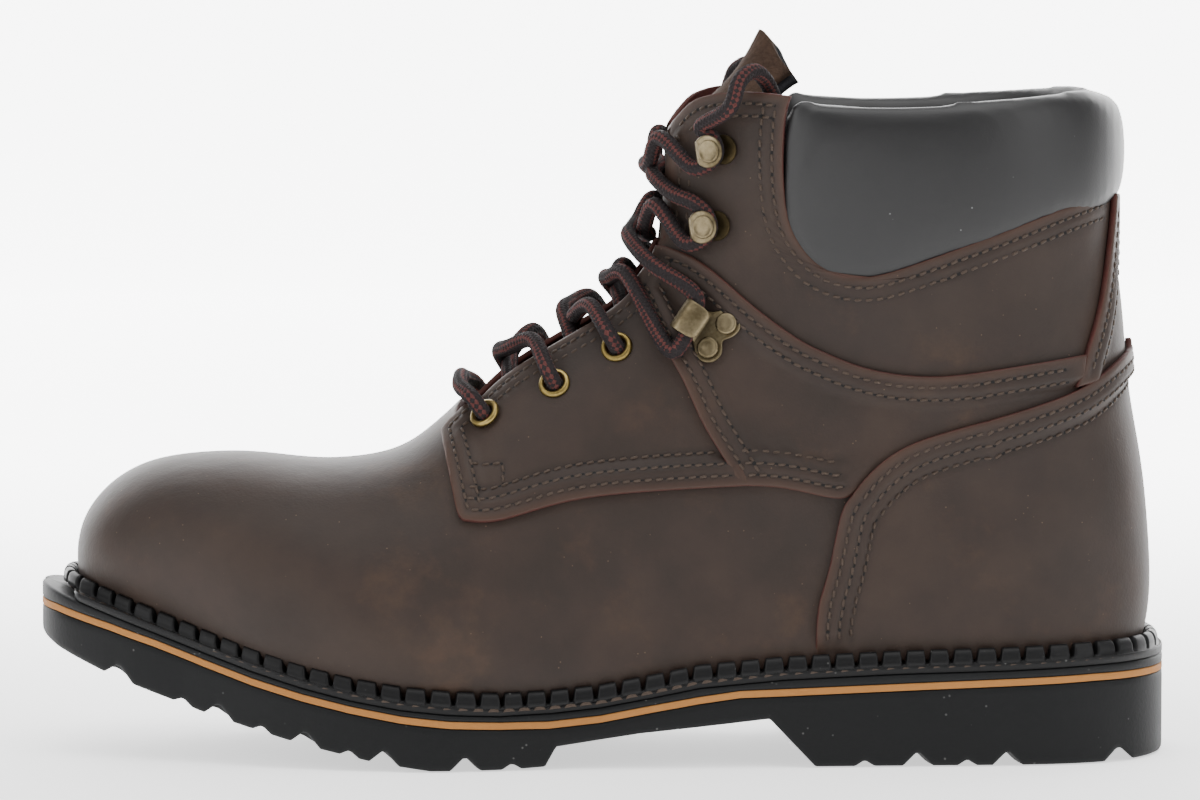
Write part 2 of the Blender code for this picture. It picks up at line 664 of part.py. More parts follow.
def make_shaft_panels():
    corner = seen([(17, 137)])[0, 0]
    top_station = seen([THROAT_TOP])[0, 0]
    outer = np.concatenate([
        at_width(np.linspace(top_station, corner, 8), FACING_HALF_GAP),
        line_seen(shifted(SHAFT_SEAM[2:-1], -0.8, -4.0) + [(126.4, 106)])])
    inner = line_seen(CUT_OUT)
    start = np.concatenate([outer[:1], line_seen([(21, 174), (25, 179), (31, 182), (41, 183), (52, 182)])])
    end = line_seen([(126.4, 106), (133.2, 126), (136.2, 142), (137, 154.5)])
    places = patch(outer, inner, start, end, 19, 5)
    return both_sides("shaft_panel", places, LEATHER_AT, LEATHER, LEATHER_BROWN)


def make_back_stay():
    front = line_seen([(127.8, 102.2), (134, 126), (137, 142), (137.8, 154.0)])
    low = np.concatenate([line_seen([(127.8, 102.2), (136, 107), (142, 111)]), back_places(114.6, 114.6, 1)])
    top = np.concatenate([seen([(137.8, 154.0)]), back_places(153.8, 153.8, 1)])
    places = patch(low, top, front, back_places(114.6, 153.8), 4, 8)
    add_shell("back_stay", joined(np.swapaxes(places, 0, 1)), LEATHER_AT, LEATHER, LEATHER_BROWN)


def make_foxing():
    top = np.concatenate([line_seen(FOXING_TOP[:-1]), back_places(113.4, 113.4, 1)])
    low = np.concatenate([feather_places(58.5, 147, 1.2), back_places(30.6, 30.6, 1)])
    front = line_seen(FOXING_FRONT)
    places = patch(low, top, front, back_places(30.6, 113.4), 11, 7)
    whole = joined(np.swapaxes(places, 0, 1))
    borders = lift_near(np.swapaxes(places, 0, 1), ("end", "low"))
    heights = last_point(places[..., 0], places[..., 1])[..., 2].T
    borders = borders * np.clip((heights - 38) / 9, 0, 1)
    lift = np.concatenate([borders, borders[:, -2::-1]], axis=1)
    add_shell("heel_foxing", whole, LEATHER_AT + lift, LEATHER, LEATHER_BROWN)


def make_heel_counter():
    top = np.concatenate([line_seen([(84, 66), (100, 76), (120, 82), (138, 85)]), back_places(86, 86, 1)])
    low = np.concatenate([feather_places(72, 147, 3.2), back_places(33.4, 33.4, 1)])
    front = line_seen([(72, welt_top(72) + 3.2), (76, 50), (84, 66)])
    places = patch(low, top, front, back_places(33.4, 86), 9, 6)
    add_shell("heel_counter", joined(np.swapaxes(places, 0, 1)), INNER_AT, INNER, BOARD)


def make_quarter_lining():
    front = line_seen([(-13, welt_top(-13) + 3.4), (-15, 45), (-20, 66)])
    top = np.concatenate([line_seen([(-20, 66), (0, 78), (24, 96), (44, 118), (54, 131), (63, 130.5), (72, 129),
                                (95, 135), (122, 145.5)]), back_places(149, 149, 1)])
    low = np.concatenate([feather_places(-13, 145, 3.4), back_places(33.4, 33.4, 1)])
    places = patch(low, top, front, back_places(33.4, 149), 13, 7)
    add_shell("quarter_lining", joined(np.swapaxes(places, 0, 1)), LINING_AT, LINING, LINING_GREY)


def make_facing_stays():
    reach = FACING_HALF_GAP + 0.2
    low_station, top_station = 10.95, seen([THROAT_TOP])[0, 0] + 1.2
    edge = at_width(np.linspace(low_station, top_station, 16), reach)
    rear = line_seen([(-28, 80), (-12, 86), (8, 98), (28, 112), (44, 130), (47, 150), (47, 178)])
    start = np.concatenate([edge[:1], rear[:1]])
    end = np.concatenate([edge[-1:], rear[-1:]])
    places = patch(edge, rear, start, end, 15, 3)
    return both_sides("facing_stay", places, STAY_AT, STAY, LEATHER_BROWN)


# ---------------------------------------------------------------- collar and tongue

COVER_PATH = ((0.0, 0.5), (0.10, 2.2), (0.35, 3.4), (0.65, 3.7), (0.88, 2.6), (0.98, 0.2), (1.0, -2.4),
              (0.97, -5.0), (0.85, -7.6), (0.6, -9.0), (0.35, -8.4), (0.12, -6.2), (0.0, -4.8))
FOAM_PATH = ((0.07, -1.3), (0.14, 0.0), (0.35, 1.3), (0.65, 1.6), (0.83, 0.6), (0.92, -1.0),
             (0.94, -2.4), (0.915, -4.0), (0.82, -5.4), (0.6, -6.8), (0.35, -6.2), (0.14, -4.6), (0.07, -3.5))


def collar_lines(count, first=0.0):
    low = np.concatenate([line_seen(shifted([(50.6, 170)] + CUT_OUT[2:-1], 0.6, 2.0)), back_places(157, 157, 1)])
    top = np.concatenate([line_seen(COLLAR_TOP[:-1]), back_places(182, 182, 1)])
    low, top = evened(low, 61), evened(top, 61)
    at = np.linspace(first, 1, count)
    read = np.linspace(0, 1, 61)
    low = np.stack([np.interp(at, read, low[:, k]) for k in (0, 1)], -1)
    top = np.stack([np.interp(at, read, top[:, k]) for k in (0, 1)], -1)
    return low, top, at


def collar_sections(path, count, first=0.0):
    """Lateral half of the collar: for each place along it, the points of its cross-section."""
    low, top, at = collar_lines(count, first)
    tall = np.linalg.norm(last_point(top[:, 0], top[:, 1]) - last_point(low[:, 0], low[:, 1]), axis=-1)
    size = np.clip(tall / 28, 0.35, 1)
    share = np.array([f for f, _ in path])[None, :, None]
    offset = np.array([o for _, o in path])[None]
    places = low[:, None] * (1 - share) + top[:, None] * share
    swell = 1 + 0.9 * np.clip((at[:, None] - 0.72) / 0.28, 0, 1) ** 1.5 * (offset > 0)
    return skin(places, offset * size[:, None] * swell)


def make_collar():
    half = collar_sections(COVER_PATH, 13)
    whole = np.concatenate([half, half[-2::-1] * np.array([1, -1, 1])])
    cover = add_mesh("collar_cover", whole, grid_faces(*whole.shape[:2]), COLLAR_GREY)
    solid = cover.modifiers.new("thickness", "SOLIDIFY")
    solid.thickness = 1.0 * MM
    solid.offset = -1.0
    inner = collar_sections(FOAM_PATH, 13, 0.15)
    add_loft("collar_foam", np.concatenate([inner, inner[-2::-1] * np.array([1, -1, 1])]), FOAM)


# Tongue rows that follow the last, as (station, depth of its outer face under the last).
TONGUE_ROWS = ((10.75, 6.2), (11.3, 8.0), (12.2, 8.4), (13.3, 8.2), (14.1, 8.0), (14.9, 6.2), (15.8, 4.2),
               (17.0, 3.4), (18.3, 3.4), (19.4, 3.4))
TONGUE_HALF = (20, 21, 21.5, 22, 22, 22, 22, 22, 22, 21.5)
# Rows of the free top, as (x shift, z shift, half width, share of the last row's curve).
TONGUE_TOP = ((4.5, 8.5, 21.5, 0.8), (12.0, 18.0, 21.0, 0.6), (22.5, 26.0, 16.0, 0.5))


def tongue_grid(depth, trim=0.0):
    """Grid of the tongue's face, depth millimetres behind its outer face."""
    across = np.linspace(-1, 1, 9)
    rows = []
    for (station, under), half in zip(TONGUE_ROWS, TONGUE_HALF):
        y = (half - trim) * across
        places = at_width(np.full(9, station), np.abs(y))
        places[:, 1] *= -np.sign(across)
        rows.append(skin(places, np.full(9, -under - depth)))
    last = rows[-1]
    crown = last[4]
    for dx, dz, half, curve in TONGUE_TOP:
        lean = depth * min(dx / 12.0, 1)
        shift = np.array([dx - 0.25 * lean, 0, dz - 0.8 * lean])
        row = crown + (last - crown) * np.array([curve, 0, curve]) + shift
        row[:, 1] = (half - trim) * across
        rows.append(row)
    return np.array(rows)


def make_tongue():
    for name, depth, trim, thickness, material in (
            ("tongue", 0.0, 0.0, 2.0, LEATHER_BROWN), ("tongue_lining", 3.3, 1.0, 2.0, LINING_GREY)):
        points = tongue_grid(depth, trim)
        thing = add_mesh(name, points, grid_faces(*points.shape[:2]), material)
        solid = thing.modifiers.new("thickness", "SOLIDIFY")
        solid.thickness = thickness * MM
        solid.offset = -1.0


# ---------------------------------------------------------------- eyelets, hooks and rivets

def at_spot(point, side):
    """Place, surface point and normal at a side-view point; side is -1 lateral, 1 medial."""
    place = seen([point])[0] * np.array([1, -side])
    return last_point(place[0], place[1]), last_normal(place[0], place[1])


def hole_cutter(name, point, side, radius):
    spot, normal = at_spot(point, side)
    profile = ((0, 9), (radius, 9), (radius, -7), (0, -7))
    return add_turned(name, profile, BRASS, frame_at(spot, normal), 16, CUTTERS)


def make_eyelets(side, word, quarter, stay):
    for number, point in enumerate(EYELETS, 1):
        hole = hole_cutter(f"eyelet_hole_{word}_{number}", point, side, EYELET_BORE + 0.75)
        cut(quarter, hole)
        cut(stay, hole)
        spot, normal = at_spot(point, side)
        top, bottom = LEATHER_AT + LEATHER + (1.7 if number == 1 else 0.0), STAY_AT - 0.35
        profile = ((EYELET_BORE, top + 1.0), (3.6, top + 1.3), (4.4, top + 0.9), (4.4, top + 0.45),
                   (EYELET_BORE + 0.4, top + 0.4), (EYELET_BORE + 0.4, bottom - 0.35), (3.8, bottom - 0.4),
                   (3.8, bottom - 0.6), (EYELET_BORE + 0.1, bottom - 0.75))
        add_turned(f"eyelet_{word}_{number}", profile, BRASS, frame_at(spot, normal), 14)


def make_round_hooks(side, word, shaft, stay):
    for number, point in enumerate(HOOKS, 2):
        hole = hole_cutter(f"hook_hole_{word}_{number}", point, side, 1.8)
        cut(shaft, hole)
        cut(stay, hole)
        spot, normal = at_spot(point, side)
        profile = ((0, 10.2), (3.0, 10.0), (4.1, 9.5), (4.1, 8.9), (1.6, 8.7), (1.6, 4.0), (4.0, 3.6), (4.0, 2.8),
                   (1.3, 2.75), (1.3, -2.5), (2.6, -2.6), (2.6, -3.2), (0, -3.3))
        add_turned(f"hook_{word}_{number}", profile, BRASS, frame_at(spot, normal), 12)


def make_plate_hook(side, word, quarter, stay):
    """The lowest hook: a two-lobed plate with a strip that turns up and back over the lace."""
    spot, normal = at_spot(PLATE_HOOK, side)
    back = (1.0, 0.0, 0.12)
    frame = frame_at(spot, normal, back)
    outline = ((6.0, 4.0), (-5.6, 4.0), (-6.6, 4.6), (-6.6, 9.7), (-5.6, 10.7), (1.0, 10.7), (1.0, 9.8),
               (-4.9, 9.8), (-5.6, 9.2), (-5.6, 5.2), (-4.9, 4.8), (6.0, 4.8))
    rings = np.array([[(x, y, z) for x, z in outline] for y in (-3.0, 3.0)])
    hook = add_loft(f"hook_{word}_1", rings, BRASS)
    hook.matrix_world = frame
    for number, point in enumerate(PLATE_RIVETS, 1):
        place, _ = at_spot(point, side)
        flat = place - np.dot(place - spot, normal) * normal
        top = 4.8 - 0.05 * number
        lobe = add_turned(f"lobe_{word}_{number}", ((0, top), (3.7, top), (3.7, 4.05), (0, 4.05)), BRASS,
                          frame_at(flat, normal), 16, CUTTERS)
        join(hook, lobe)
        bore = add_turned(f"rivet_bore_{word}_{number}", ((0, 9), (1.7, 9), (1.7, -7), (0, -7)), BRASS,
                          frame_at(flat, normal), 12, CUTTERS)
        cut(hook, bore)
        cut(quarter, bore)
        cut(stay, bore)
        profile = ((0, 6.3), (1.6, 6.1), (2.6, 5.5), (2.6, 5.15), (1.3, 5.1), (1.3, -2.9), (2.6, -3.0),
                   (2.6, -3.5), (0, -3.6))
        add_turned(f"rivet_{word}_{number}", profile, BRASS, frame_at(flat, normal), 12)


# ---------------------------------------------------------------- the lace

def across_throat(station, y, offset):
    """Point over the throat at distance y from the centre plane, offset out from the last."""
    place = at_width([station], abs(y))[0]
    if y > 0:
        place = place * np.array([1, -1])
    return skin(place, np.array(offset))


# The lace's way round a hook, as (up, rearwards) from the hook's middle.
PLATE_TURN = ((-8.6, -3.8), (-5.8, 0.4), (0, 1.2), (5.6, 0.0), (7.8, -4.0))
ROUND_TURN = ((-4.3, -1.5), (-3.2, 2.8), (0, 4.4), (3.2, 2.8), (4.3, -1.5))


def strand(side, low):
    """Route of one half of the lace, from its first eyelet up to its end; side is where it starts."""
    cross = -0.6 if low else 3.9
    route = []
    here = side
    stations = [seen([point])[0, 0] for point in EYELETS]
    for number, point in enumerate(EYELETS):
        spot, normal = at_spot(point, here)
        station = stations[number]
        rise = 1.7 if number == 0 else 0.0
        throat = across_throat(station + 0.05, here * 16.5, 6.2 + rise)
        inwards = across_throat(station + 0.35, here * 18.5, -5.7)
        if number:
            route.append(throat)
        way = throat - spot - normal * np.dot(throat - spot, normal)
        way /= np.linalg.norm(way)
        route += [spot + normal * (6.4 + rise) + way * 2.7, spot + normal * (3.2 + rise), spot,
                  spot - normal * 3.4, spot - normal * 6.1 + way * 2.8, inwards]
        route.append(across_throat(station + 0.5, here * 11.0, -2.6))
        route.append(across_throat(station + 0.6, 0, cross))
        here = -here
        route.append(across_throat(station + 0.75, here * 9.0, 2.4 if low else 4.6))
    hooks = (PLATE_HOOK,) + HOOKS
    for number, point in enumerate(hooks):
        spot, normal = at_spot(point, here)
        height_off = 7.3 if number == 0 else 6.1
        up = np.array([0.25, 0, 1.0]) if number else np.array([0.45, 0, 1.0])
        up -= np.dot(up, normal) * normal
        up /= np.linalg.norm(up)
        rear = np.array([1.0, 0, 0]) - np.dot([1.0, 0, 0], normal) * normal
        rear -= np.dot(rear, up) * up
        rear /= np.linalg.norm(rear)
        centre = spot + normal * height_off
        station = seen([point])[0, 0]
        route.append(across_throat(station - 0.35, here * 15.5, 5.8))
        turns = PLATE_TURN if number == 0 else ROUND_TURN
        route += [centre + up * a + rear * b for a, b in turns]
        if number < 2:
            over = 8.0 if number == 0 else 5.4
            route.append(across_throat(station + 0.38, here * 20.0, over))
            route.append(across_throat(station + 0.55, here * 12.0, over - 0.6))
            route.append(across_throat(station + 0.75, 0, 0.6 if low else 5.2))
            here = -here
            route.append(across_throat(station + 1.0, here * 10.0, 3.6 if low else 5.4))
    y = here
    for x, reach, z in ((35, 39.5, 179), (38, 38, 186.5), (42, 33.5, 188.5), (46, 28.5, 184), (49, 26, 172),
                        (51, 25.7, 150), (54, 25.5, 125), (57, 25.5, 102), (58.5, 25.5, 88)):
        route.append(np.array([x, y * reach, z]))
    return route


def smooth_route(points, step):
    """Points step apart along a smooth curve (centripetal Catmull-Rom) through the route's points."""
    points = np.asarray(points)
    ends = np.concatenate([[2 * points[0] - points[1]], points, [2 * points[-1] - points[-2]]])
    dense = []
    for k in range(1, len(ends) - 2):
        p0, p1, p2, p3 = ends[k - 1:k + 3]
        knots = np.cumsum([0] + [max(np.linalg.norm(b - a), 1e-6) ** 0.5 for a, b in ((p0, p1), (p1, p2), (p2, p3))])
        t = np.linspace(knots[1], knots[2], 16, endpoint=False)[:, None]
        a1 = (knots[1] - t) / (knots[1] - knots[0]) * p0 + (t - knots[0]) / (knots[1] - knots[0]) * p1
        a2 = (knots[2] - t) / (knots[2] - knots[1]) * p1 + (t - knots[1]) / (knots[2] - knots[1]) * p2
        a3 = (knots[3] - t) / (knots[3] - knots[2]) * p2 + (t - knots[2]) / (knots[3] - knots[2]) * p3
        b1 = (knots[2] - t) / (knots[2] - knots[0]) * a1 + (t - knots[0]) / (knots[2] - knots[0]) * a2
        b2 = (knots[3] - t) / (knots[3] - knots[1]) * a2 + (t - knots[1]) / (knots[3] - knots[1]) * a3
        dense.append((knots[2] - t) / (knots[2] - knots[1]) * b1 + (t - knots[1]) / (knots[2] - knots[1]) * b2)
    dense = np.concatenate(dense + [points[-1:]])
    length = np.concatenate([[0], np.cumsum(np.linalg.norm(np.diff(dense, axis=0), axis=1))])
    count = int(round(length[-1] / step)) + 1
    wanted = np.linspace(0, length[-1], count)
    return np.stack([np.interp(wanted, length, dense[:, k]) for k in range(3)], -1)


def add_tube(name, points, radius, material):
    curve = bpy.data.curves.new(name, "CURVE")
    curve.dimensions = "3D"
    spline = curve.splines.new("POLY")
    spline.points.add(len(points) - 1)
    for point, place in zip(spline.points, np.asarray(points) * MM):
        point.co = (*place, 1)
    curve.bevel_depth = radius * MM
    curve.bevel_resolution = 2
    curve.use_fill_caps = True
    curve.materials.append(material)
    tube = bpy.data.objects.new(name, curve)
    BOOT.objects.link(tube)
    return tube


def lace_route():
    lateral = strand(-1, True)
    medial = strand(1, False)
    station = seen([EYELETS[0]])[0, 0]
    bar = [across_throat(station - 0.05, side * reach, offset)
           for side, reach, offset in ((1, 16.5, 7.8), (1, 8, 6.4), (1, 0, 6.0), (-1, 8, 6.4), (-1, 16.5, 7.8))]
    return medial[::-1] + bar + lateral


def make_lace():
    route = smooth_route(lace_route(), 6.0)
    add_tube("lace", route, LACE_RADIUS, LACE_BLACK)
    for name, tip, before in (("aglet_medial", route[0], route[1]), ("aglet_lateral", route[-1], route[-2])):
        way = (tip - before) / np.linalg.norm(tip - before)
        add_tube(name, [tip + way * 0.4, tip + way * 22], LACE_RADIUS, AGLET)


# ---------------------------------------------------------------- the whole boot

def centre_on_origin():
    """Hangs every piece and cutter from one empty, which moves the boot over the origin."""
    base = bpy.data.objects.new("boot_origin", None)
    BOOT.objects.link(base)
    for thing in list(BOOT.objects) + list(CUTTERS.objects):
        if thing is not base:
            thing.parent = base
    base.location = [length * MM for length in TO_ORIGIN]


def main():
    make_sole()
    make_toe_cap()
    make_vamp()
    make_vamp_lining()
    front = make_front_quarters()
    mid = make_mid_quarters()
    shaft = make_shaft_panels()
    make_back_stay()
    make_foxing()
    make_heel_counter()
    make_quarter_lining()
    stays = make_facing_stays()
    make_collar()
    make_tongue()
    for index, (side, word) in enumerate(((-1, "lateral"), (1, "medial"))):
        make_eyelets(side, word, front[index], stays[index])
        make_round_hooks(side, word, shaft[index], stays[index])
        make_plate_hook(side, word, mid[index], stays[index])
    make_lace()
    centre_on_origin()


main()
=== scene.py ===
# %% [markdown]
# # A six-inch work boot, finished
#
# The boot's solid pieces are already made and packed. This lesson dresses them: each visible piece is
# made again as a fine surface, and each surface gets a finish that is worked out by shader maths.
# We work in millimetres and turn them into metres where a mesh is made.

# %% Load the solid model
import math

import bmesh
import bpy
import numpy as np
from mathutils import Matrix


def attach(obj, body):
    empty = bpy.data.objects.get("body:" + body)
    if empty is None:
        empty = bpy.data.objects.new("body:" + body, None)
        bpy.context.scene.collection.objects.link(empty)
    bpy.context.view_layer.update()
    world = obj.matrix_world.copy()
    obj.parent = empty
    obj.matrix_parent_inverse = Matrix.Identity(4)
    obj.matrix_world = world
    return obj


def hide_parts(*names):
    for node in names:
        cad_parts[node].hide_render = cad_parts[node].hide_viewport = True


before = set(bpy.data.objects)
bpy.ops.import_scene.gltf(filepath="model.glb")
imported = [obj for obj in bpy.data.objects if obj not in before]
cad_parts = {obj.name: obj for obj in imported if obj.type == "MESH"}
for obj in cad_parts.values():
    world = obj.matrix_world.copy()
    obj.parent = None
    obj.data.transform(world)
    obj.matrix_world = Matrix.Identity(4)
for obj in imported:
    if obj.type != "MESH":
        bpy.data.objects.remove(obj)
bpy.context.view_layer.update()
MM = 0.001
ORIGIN = np.array([0.1, 1.05, 0.0])
print("nodes:", len(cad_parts))

# %% [markdown]
# A shoemaker starts from a last, the solid foot that the leather is pulled over. Here it is a fan of
# cross-sections that turns from the toe, over the instep, to the top of the shaft. Each section runs
# from the ridge down to the sole or the heel, and is a superellipse. A place on the last is a pair:
# the station along the fan, and the angle round the section. Every panel is cut from this one surface,
# so neighbours always fit.

# %% The last
LAST = np.array([
    # top_x, top_z, low_x, low_z, half width, middle y, widest share, power above, power below
    (-139.0, 41.0, -139.0, 41.0, 0.0, 6.0, 0.40, 2.40, 3.5),
    (-142.3, 46.0, -133.0, 38.0, 13.0, 6.0, 0.40, 2.40, 3.5),
    (-143.0, 54.0, -126.0, 35.5, 22.0, 6.0, 0.40, 2.40, 3.5),
    (-140.8, 63.0, -118.0, 33.0, 29.5, 5.5, 0.40, 2.40, 3.5),
    (-134.5, 71.5, -109.0, 30.0, 35.5, 5.0, 0.40, 2.40, 3.5),
    (-124.0, 77.0, -99.0, 26.5, 40.5, 4.0, 0.37, 2.40, 3.5),
    (-110.0, 79.2, -87.0, 22.5, 45.0, 2.5, 0.34, 2.35, 3.5),
    (-94.0, 79.0, -74.0, 18.5, 48.0, 1.0, 0.335, 2.30, 3.5),
    (-78.0, 78.2, -59.0, 15.0, 50.0, -0.5, 0.33, 2.25, 3.5),
    (-63.0, 79.3, -41.0, 12.0, 50.0, -1.5, 0.33, 2.25, 3.5),
    (-50.0, 84.2, -20.0, 10.0, 48.0, -2.0, 0.32, 2.30, 2.8),
    (-38.5, 94.0, 5.0, 9.0, 44.5, -1.5, 0.31, 2.45, 2.8),
    (-26.0, 106.5, 35.0, 8.0, 41.0, -1.0, 0.30, 2.65, 2.8),
    (-9.0, 117.5, 70.0, 6.0, 38.0, -0.5, 0.30, 2.85, 2.8),
    (4.0, 127.0, 105.0, 8.0, 36.5, 0.0, 0.30, 3.00, 2.8),
    (11.0, 136.5, 137.0, 14.0, 35.5, 0.0, 0.30, 3.00, 2.8),
    (15.0, 145.5, 148.5, 34.0, 35.0, 0.0, 0.30, 3.00, 2.3),
    (17.0, 154.0, 150.0, 56.0, 35.2, 0.0, 0.33, 2.90, 2.3),
    (17.8, 162.0, 147.5, 80.0, 35.8, 0.0, 0.36, 2.80, 2.2),
    (18.0, 169.0, 144.0, 104.0, 36.5, 0.0, 0.39, 2.65, 2.2),
    (18.3, 175.5, 141.3, 128.0, 37.5, 0.0, 0.42, 2.50, 2.2),
    (19.0, 182.0, 139.3, 152.0, 38.5, 0.0, 0.45, 2.40, 2.2),
    (20.0, 188.5, 138.5, 176.0, 39.5, 0.0, 0.48, 2.30, 2.2),
    (21.0, 195.0, 138.5, 198.0, 40.0, 0.0, 0.48, 2.30, 2.2)])


def spline_bends(rows):
    """Second derivatives of the natural cubic spline through the rows, from its tridiagonal equations."""
    count = len(rows)
    system = np.eye(count)
    inner = np.arange(1, count - 1)
    system[inner, inner - 1], system[inner, inner], system[inner, inner + 1] = 1, 4, 1
    right = np.zeros_like(rows)
    right[1:-1] = 6 * (rows[2:] - 2 * rows[1:-1] + rows[:-2])
    return np.linalg.solve(system, right)


LAST_BENDS = spline_bends(LAST)


def section(station):
    """Cubic spline through the last's rows: near and far shares of two rows, plus their bends."""
    station = np.asarray(station, float)
    cell = np.clip(np.floor(station).astype(int), 0, len(LAST) - 2)
    far = (station - cell)[..., None]
    near = 1 - far
    bend = (near ** 3 - near) * LAST_BENDS[cell] + (far ** 3 - far) * LAST_BENDS[cell + 1]
    return near * LAST[cell] + far * LAST[cell + 1] + bend / 6


def last_point(station, angle):
    """Superellipse: the cosine of the angle is the share along, and the half width is what is left: the
    root, of the section's power, of 1 less that cosine to the power."""
    row = section(station)
    cosine = np.cos(angle)
    power = np.where(cosine >= 0, row[..., 7], row[..., 8])
    widest = row[..., 6]
    along = widest + np.where(cosine >= 0, 1 - widest, widest) * cosine
    side = np.sign(np.sin(angle)) * np.clip(1 - np.abs(cosine) ** power, 0, 1) ** (1 / power)
    x = row[..., 2] + (row[..., 0] - row[..., 2]) * along
    z = row[..., 3] + (row[..., 1] - row[..., 3]) * along
    return np.stack([x, row[..., 5] + row[..., 4] * side, z], -1)


def last_normal(station, angle):
    """Cross product of the differences along and around the last, made one long."""
    step = 0.02
    forward = last_point(station + step, angle) - last_point(station - step, angle)
    around = last_point(station, angle + step) - last_point(station, angle - step)
    normal = np.cross(forward, around)
    return normal / np.maximum(np.linalg.norm(normal, axis=-1, keepdims=True), 1e-9)


def skin(places, offset):
    """Last point plus its normal times the offset."""
    station, angle = places[..., 0], places[..., 1]
    return last_point(station, angle) + last_normal(station, angle) * np.asarray(offset)[..., None]


print("last stations:", len(LAST))

# %% [markdown]
# A pattern cutter draws seams on the side of the last. We draw them the same way, as points seen from
# the side, and ask which place of the last lies under each point. Each section shows from the side as a
# straight line, so the place is found where the point changes sides of that line.

# %% From a side view to places on the last
SCAN = np.linspace(0.6, len(LAST) - 1, 1800)


def seen(points):
    """Lateral places under side-view points: the sign change of a cross product, then the superellipse undone."""
    points = np.asarray(points, float)
    rows = section(SCAN)
    low, ray = rows[:, 2:4], rows[:, 0:2] - rows[:, 2:4]
    to = points[:, None] - low[None]
    turn = ray[:, 0] * to[..., 1] - ray[:, 1] * to[..., 0]
    share = (to * ray).sum(-1) / (ray ** 2).sum(-1)
    crossed = turn[:, :-1] * turn[:, 1:] <= 0
    outside = np.abs(share - np.clip(share, 0, 1))[:, :-1]
    best = np.argmin(np.where(crossed, outside, 1e6), axis=1)
    nearest = np.minimum(np.argmin(np.abs(turn) / np.linalg.norm(ray, axis=1), axis=1), len(SCAN) - 2)
    any_crossed = crossed.any(axis=1)
    best = np.where(any_crossed, best, nearest)
    who = np.arange(len(points))
    first, second = turn[who, best], turn[who, best + 1]
    mix = np.where(any_crossed, first / np.where(first == second, 1, first - second), 0)
    station = SCAN[best] + mix * (SCAN[1] - SCAN[0])
    part = np.clip(share[who, best] + mix * (share[who, best + 1] - share[who, best]), 0, 1)
    row = section(station)
    widest = row[:, 6]
    cosine = (part - widest) / np.where(part >= widest, 1 - widest, widest)
    return np.stack([station, -np.arccos(np.clip(cosine, -1, 1))], -1)


def line_seen(points, longest=1.5):
    """Places along a side-view polyline, cut into steps no longer than longest."""
    points = np.asarray(points, float)
    length = np.concatenate([[0], np.cumsum(np.linalg.norm(np.diff(points, axis=0), axis=1))])
    count = int(length[-1] / longest) + 2
    wanted = np.unique(np.concatenate([np.linspace(0, length[-1], count), length]))
    return seen(np.stack([np.interp(wanted, length, points[:, k]) for k in (0, 1)], -1))


def rounded(points, count=60):
    """A smooth line through side-view points: the natural cubic spline, read at even steps of its table."""
    rows = np.asarray(points, float)
    bends = spline_bends(rows)
    at = np.linspace(0, len(rows) - 1, count)
    cell = np.clip(np.floor(at).astype(int), 0, len(rows) - 2)
    far = (at - cell)[:, None]
    near = 1 - far
    bend = (near ** 3 - near) * bends[cell] + (far ** 3 - far) * bends[cell + 1]
    return near * rows[cell] + far * rows[cell + 1] + bend / 6


def at_width(stations, reach):
    """Lateral places at a distance from the centre plane, from the superellipse's half width."""
    rows = section(stations)
    power = rows[..., 7]
    cosine = (1 - (np.asarray(reach) / rows[..., 4]) ** power) ** (1 / power)
    return np.stack([np.broadcast_to(np.asarray(stations, float), cosine.shape), -np.arccos(cosine)], -1)


def other_side(places):
    """The same places on the medial side."""
    return places * np.array([1, -1])


print("a seam point:", seen([(30, 110)])[0])

# %% [markdown]
# The camera stands on the outer side of the boot, a little above it, with a long lens, as for a
# catalogue. It comes before the cords, because they may not spread far outside its view.

# %% Camera
def look_from(location, target, lens):
    """A camera whose local z points from the target to the location."""
    data = bpy.data.cameras.new("camera")
    data.lens = lens
    data.sensor_width = 36.0
    camera = bpy.data.objects.new("camera", data)
    bpy.context.scene.collection.objects.link(camera)
    camera.location = location
    away = np.array(location) - np.array(target)
    camera.rotation_euler = (math.atan2(math.hypot(away[0], away[1]), away[2]), 0, math.atan2(away[0], -away[1]))
    bpy.context.scene.camera = camera
    return camera


camera = look_from((0, -1.9, 0.25), (0, 0, 0.0965), 206.38)
print("camera lens:", camera.data.lens)

# %% [markdown]
# Shader maths reads best as plain sums. A Wire wraps one socket, so that adding or multiplying wires
# adds the Math nodes that do it. A Finish is one material, whose node method makes any other node.

# %% Wires and finishes
class Wire:
    """One output socket of a finish; sums with it become Math nodes."""

    def __init__(self, finish, socket):
        self.finish = finish
        self.socket = socket

    def maths(self, operation, *terms):
        return self.finish.node("ShaderNodeMath", {"operation": operation}, dict(enumerate(terms)))

    def __add__(self, other):
        return self.maths("ADD", self, other)

    def __sub__(self, other):
        return self.maths("SUBTRACT", self, other)

    def __rsub__(self, other):
        return self.maths("SUBTRACT", other, self)

    def __mul__(self, other):
        return self.maths("MULTIPLY", self, other)

    def __truediv__(self, other):
        return self.maths("DIVIDE", self, other)

    __radd__ = __add__
    __rmul__ = __mul__

    def above(self, edge, soft=0.05):
        """0 below edge - soft, 1 above edge + soft, smooth between."""
        return self.finish.node("ShaderNodeMapRange", {"interpolation_type": "SMOOTHSTEP"},
                                {"Value": self, "From Min": edge - soft, "From Max": edge + soft})

    def wave(self):
        return self.maths("SINE", self)

    def whole(self):
        return self.maths("FLOOR", self)

    def least(self, other):
        return self.maths("MINIMUM", self, other)

    def most(self, other):
        return self.maths("MAXIMUM", self, other)

    def rest(self, other):
        return self.maths("FLOORED_MODULO", self, other)

    def size(self):
        return self.maths("ABSOLUTE", self)


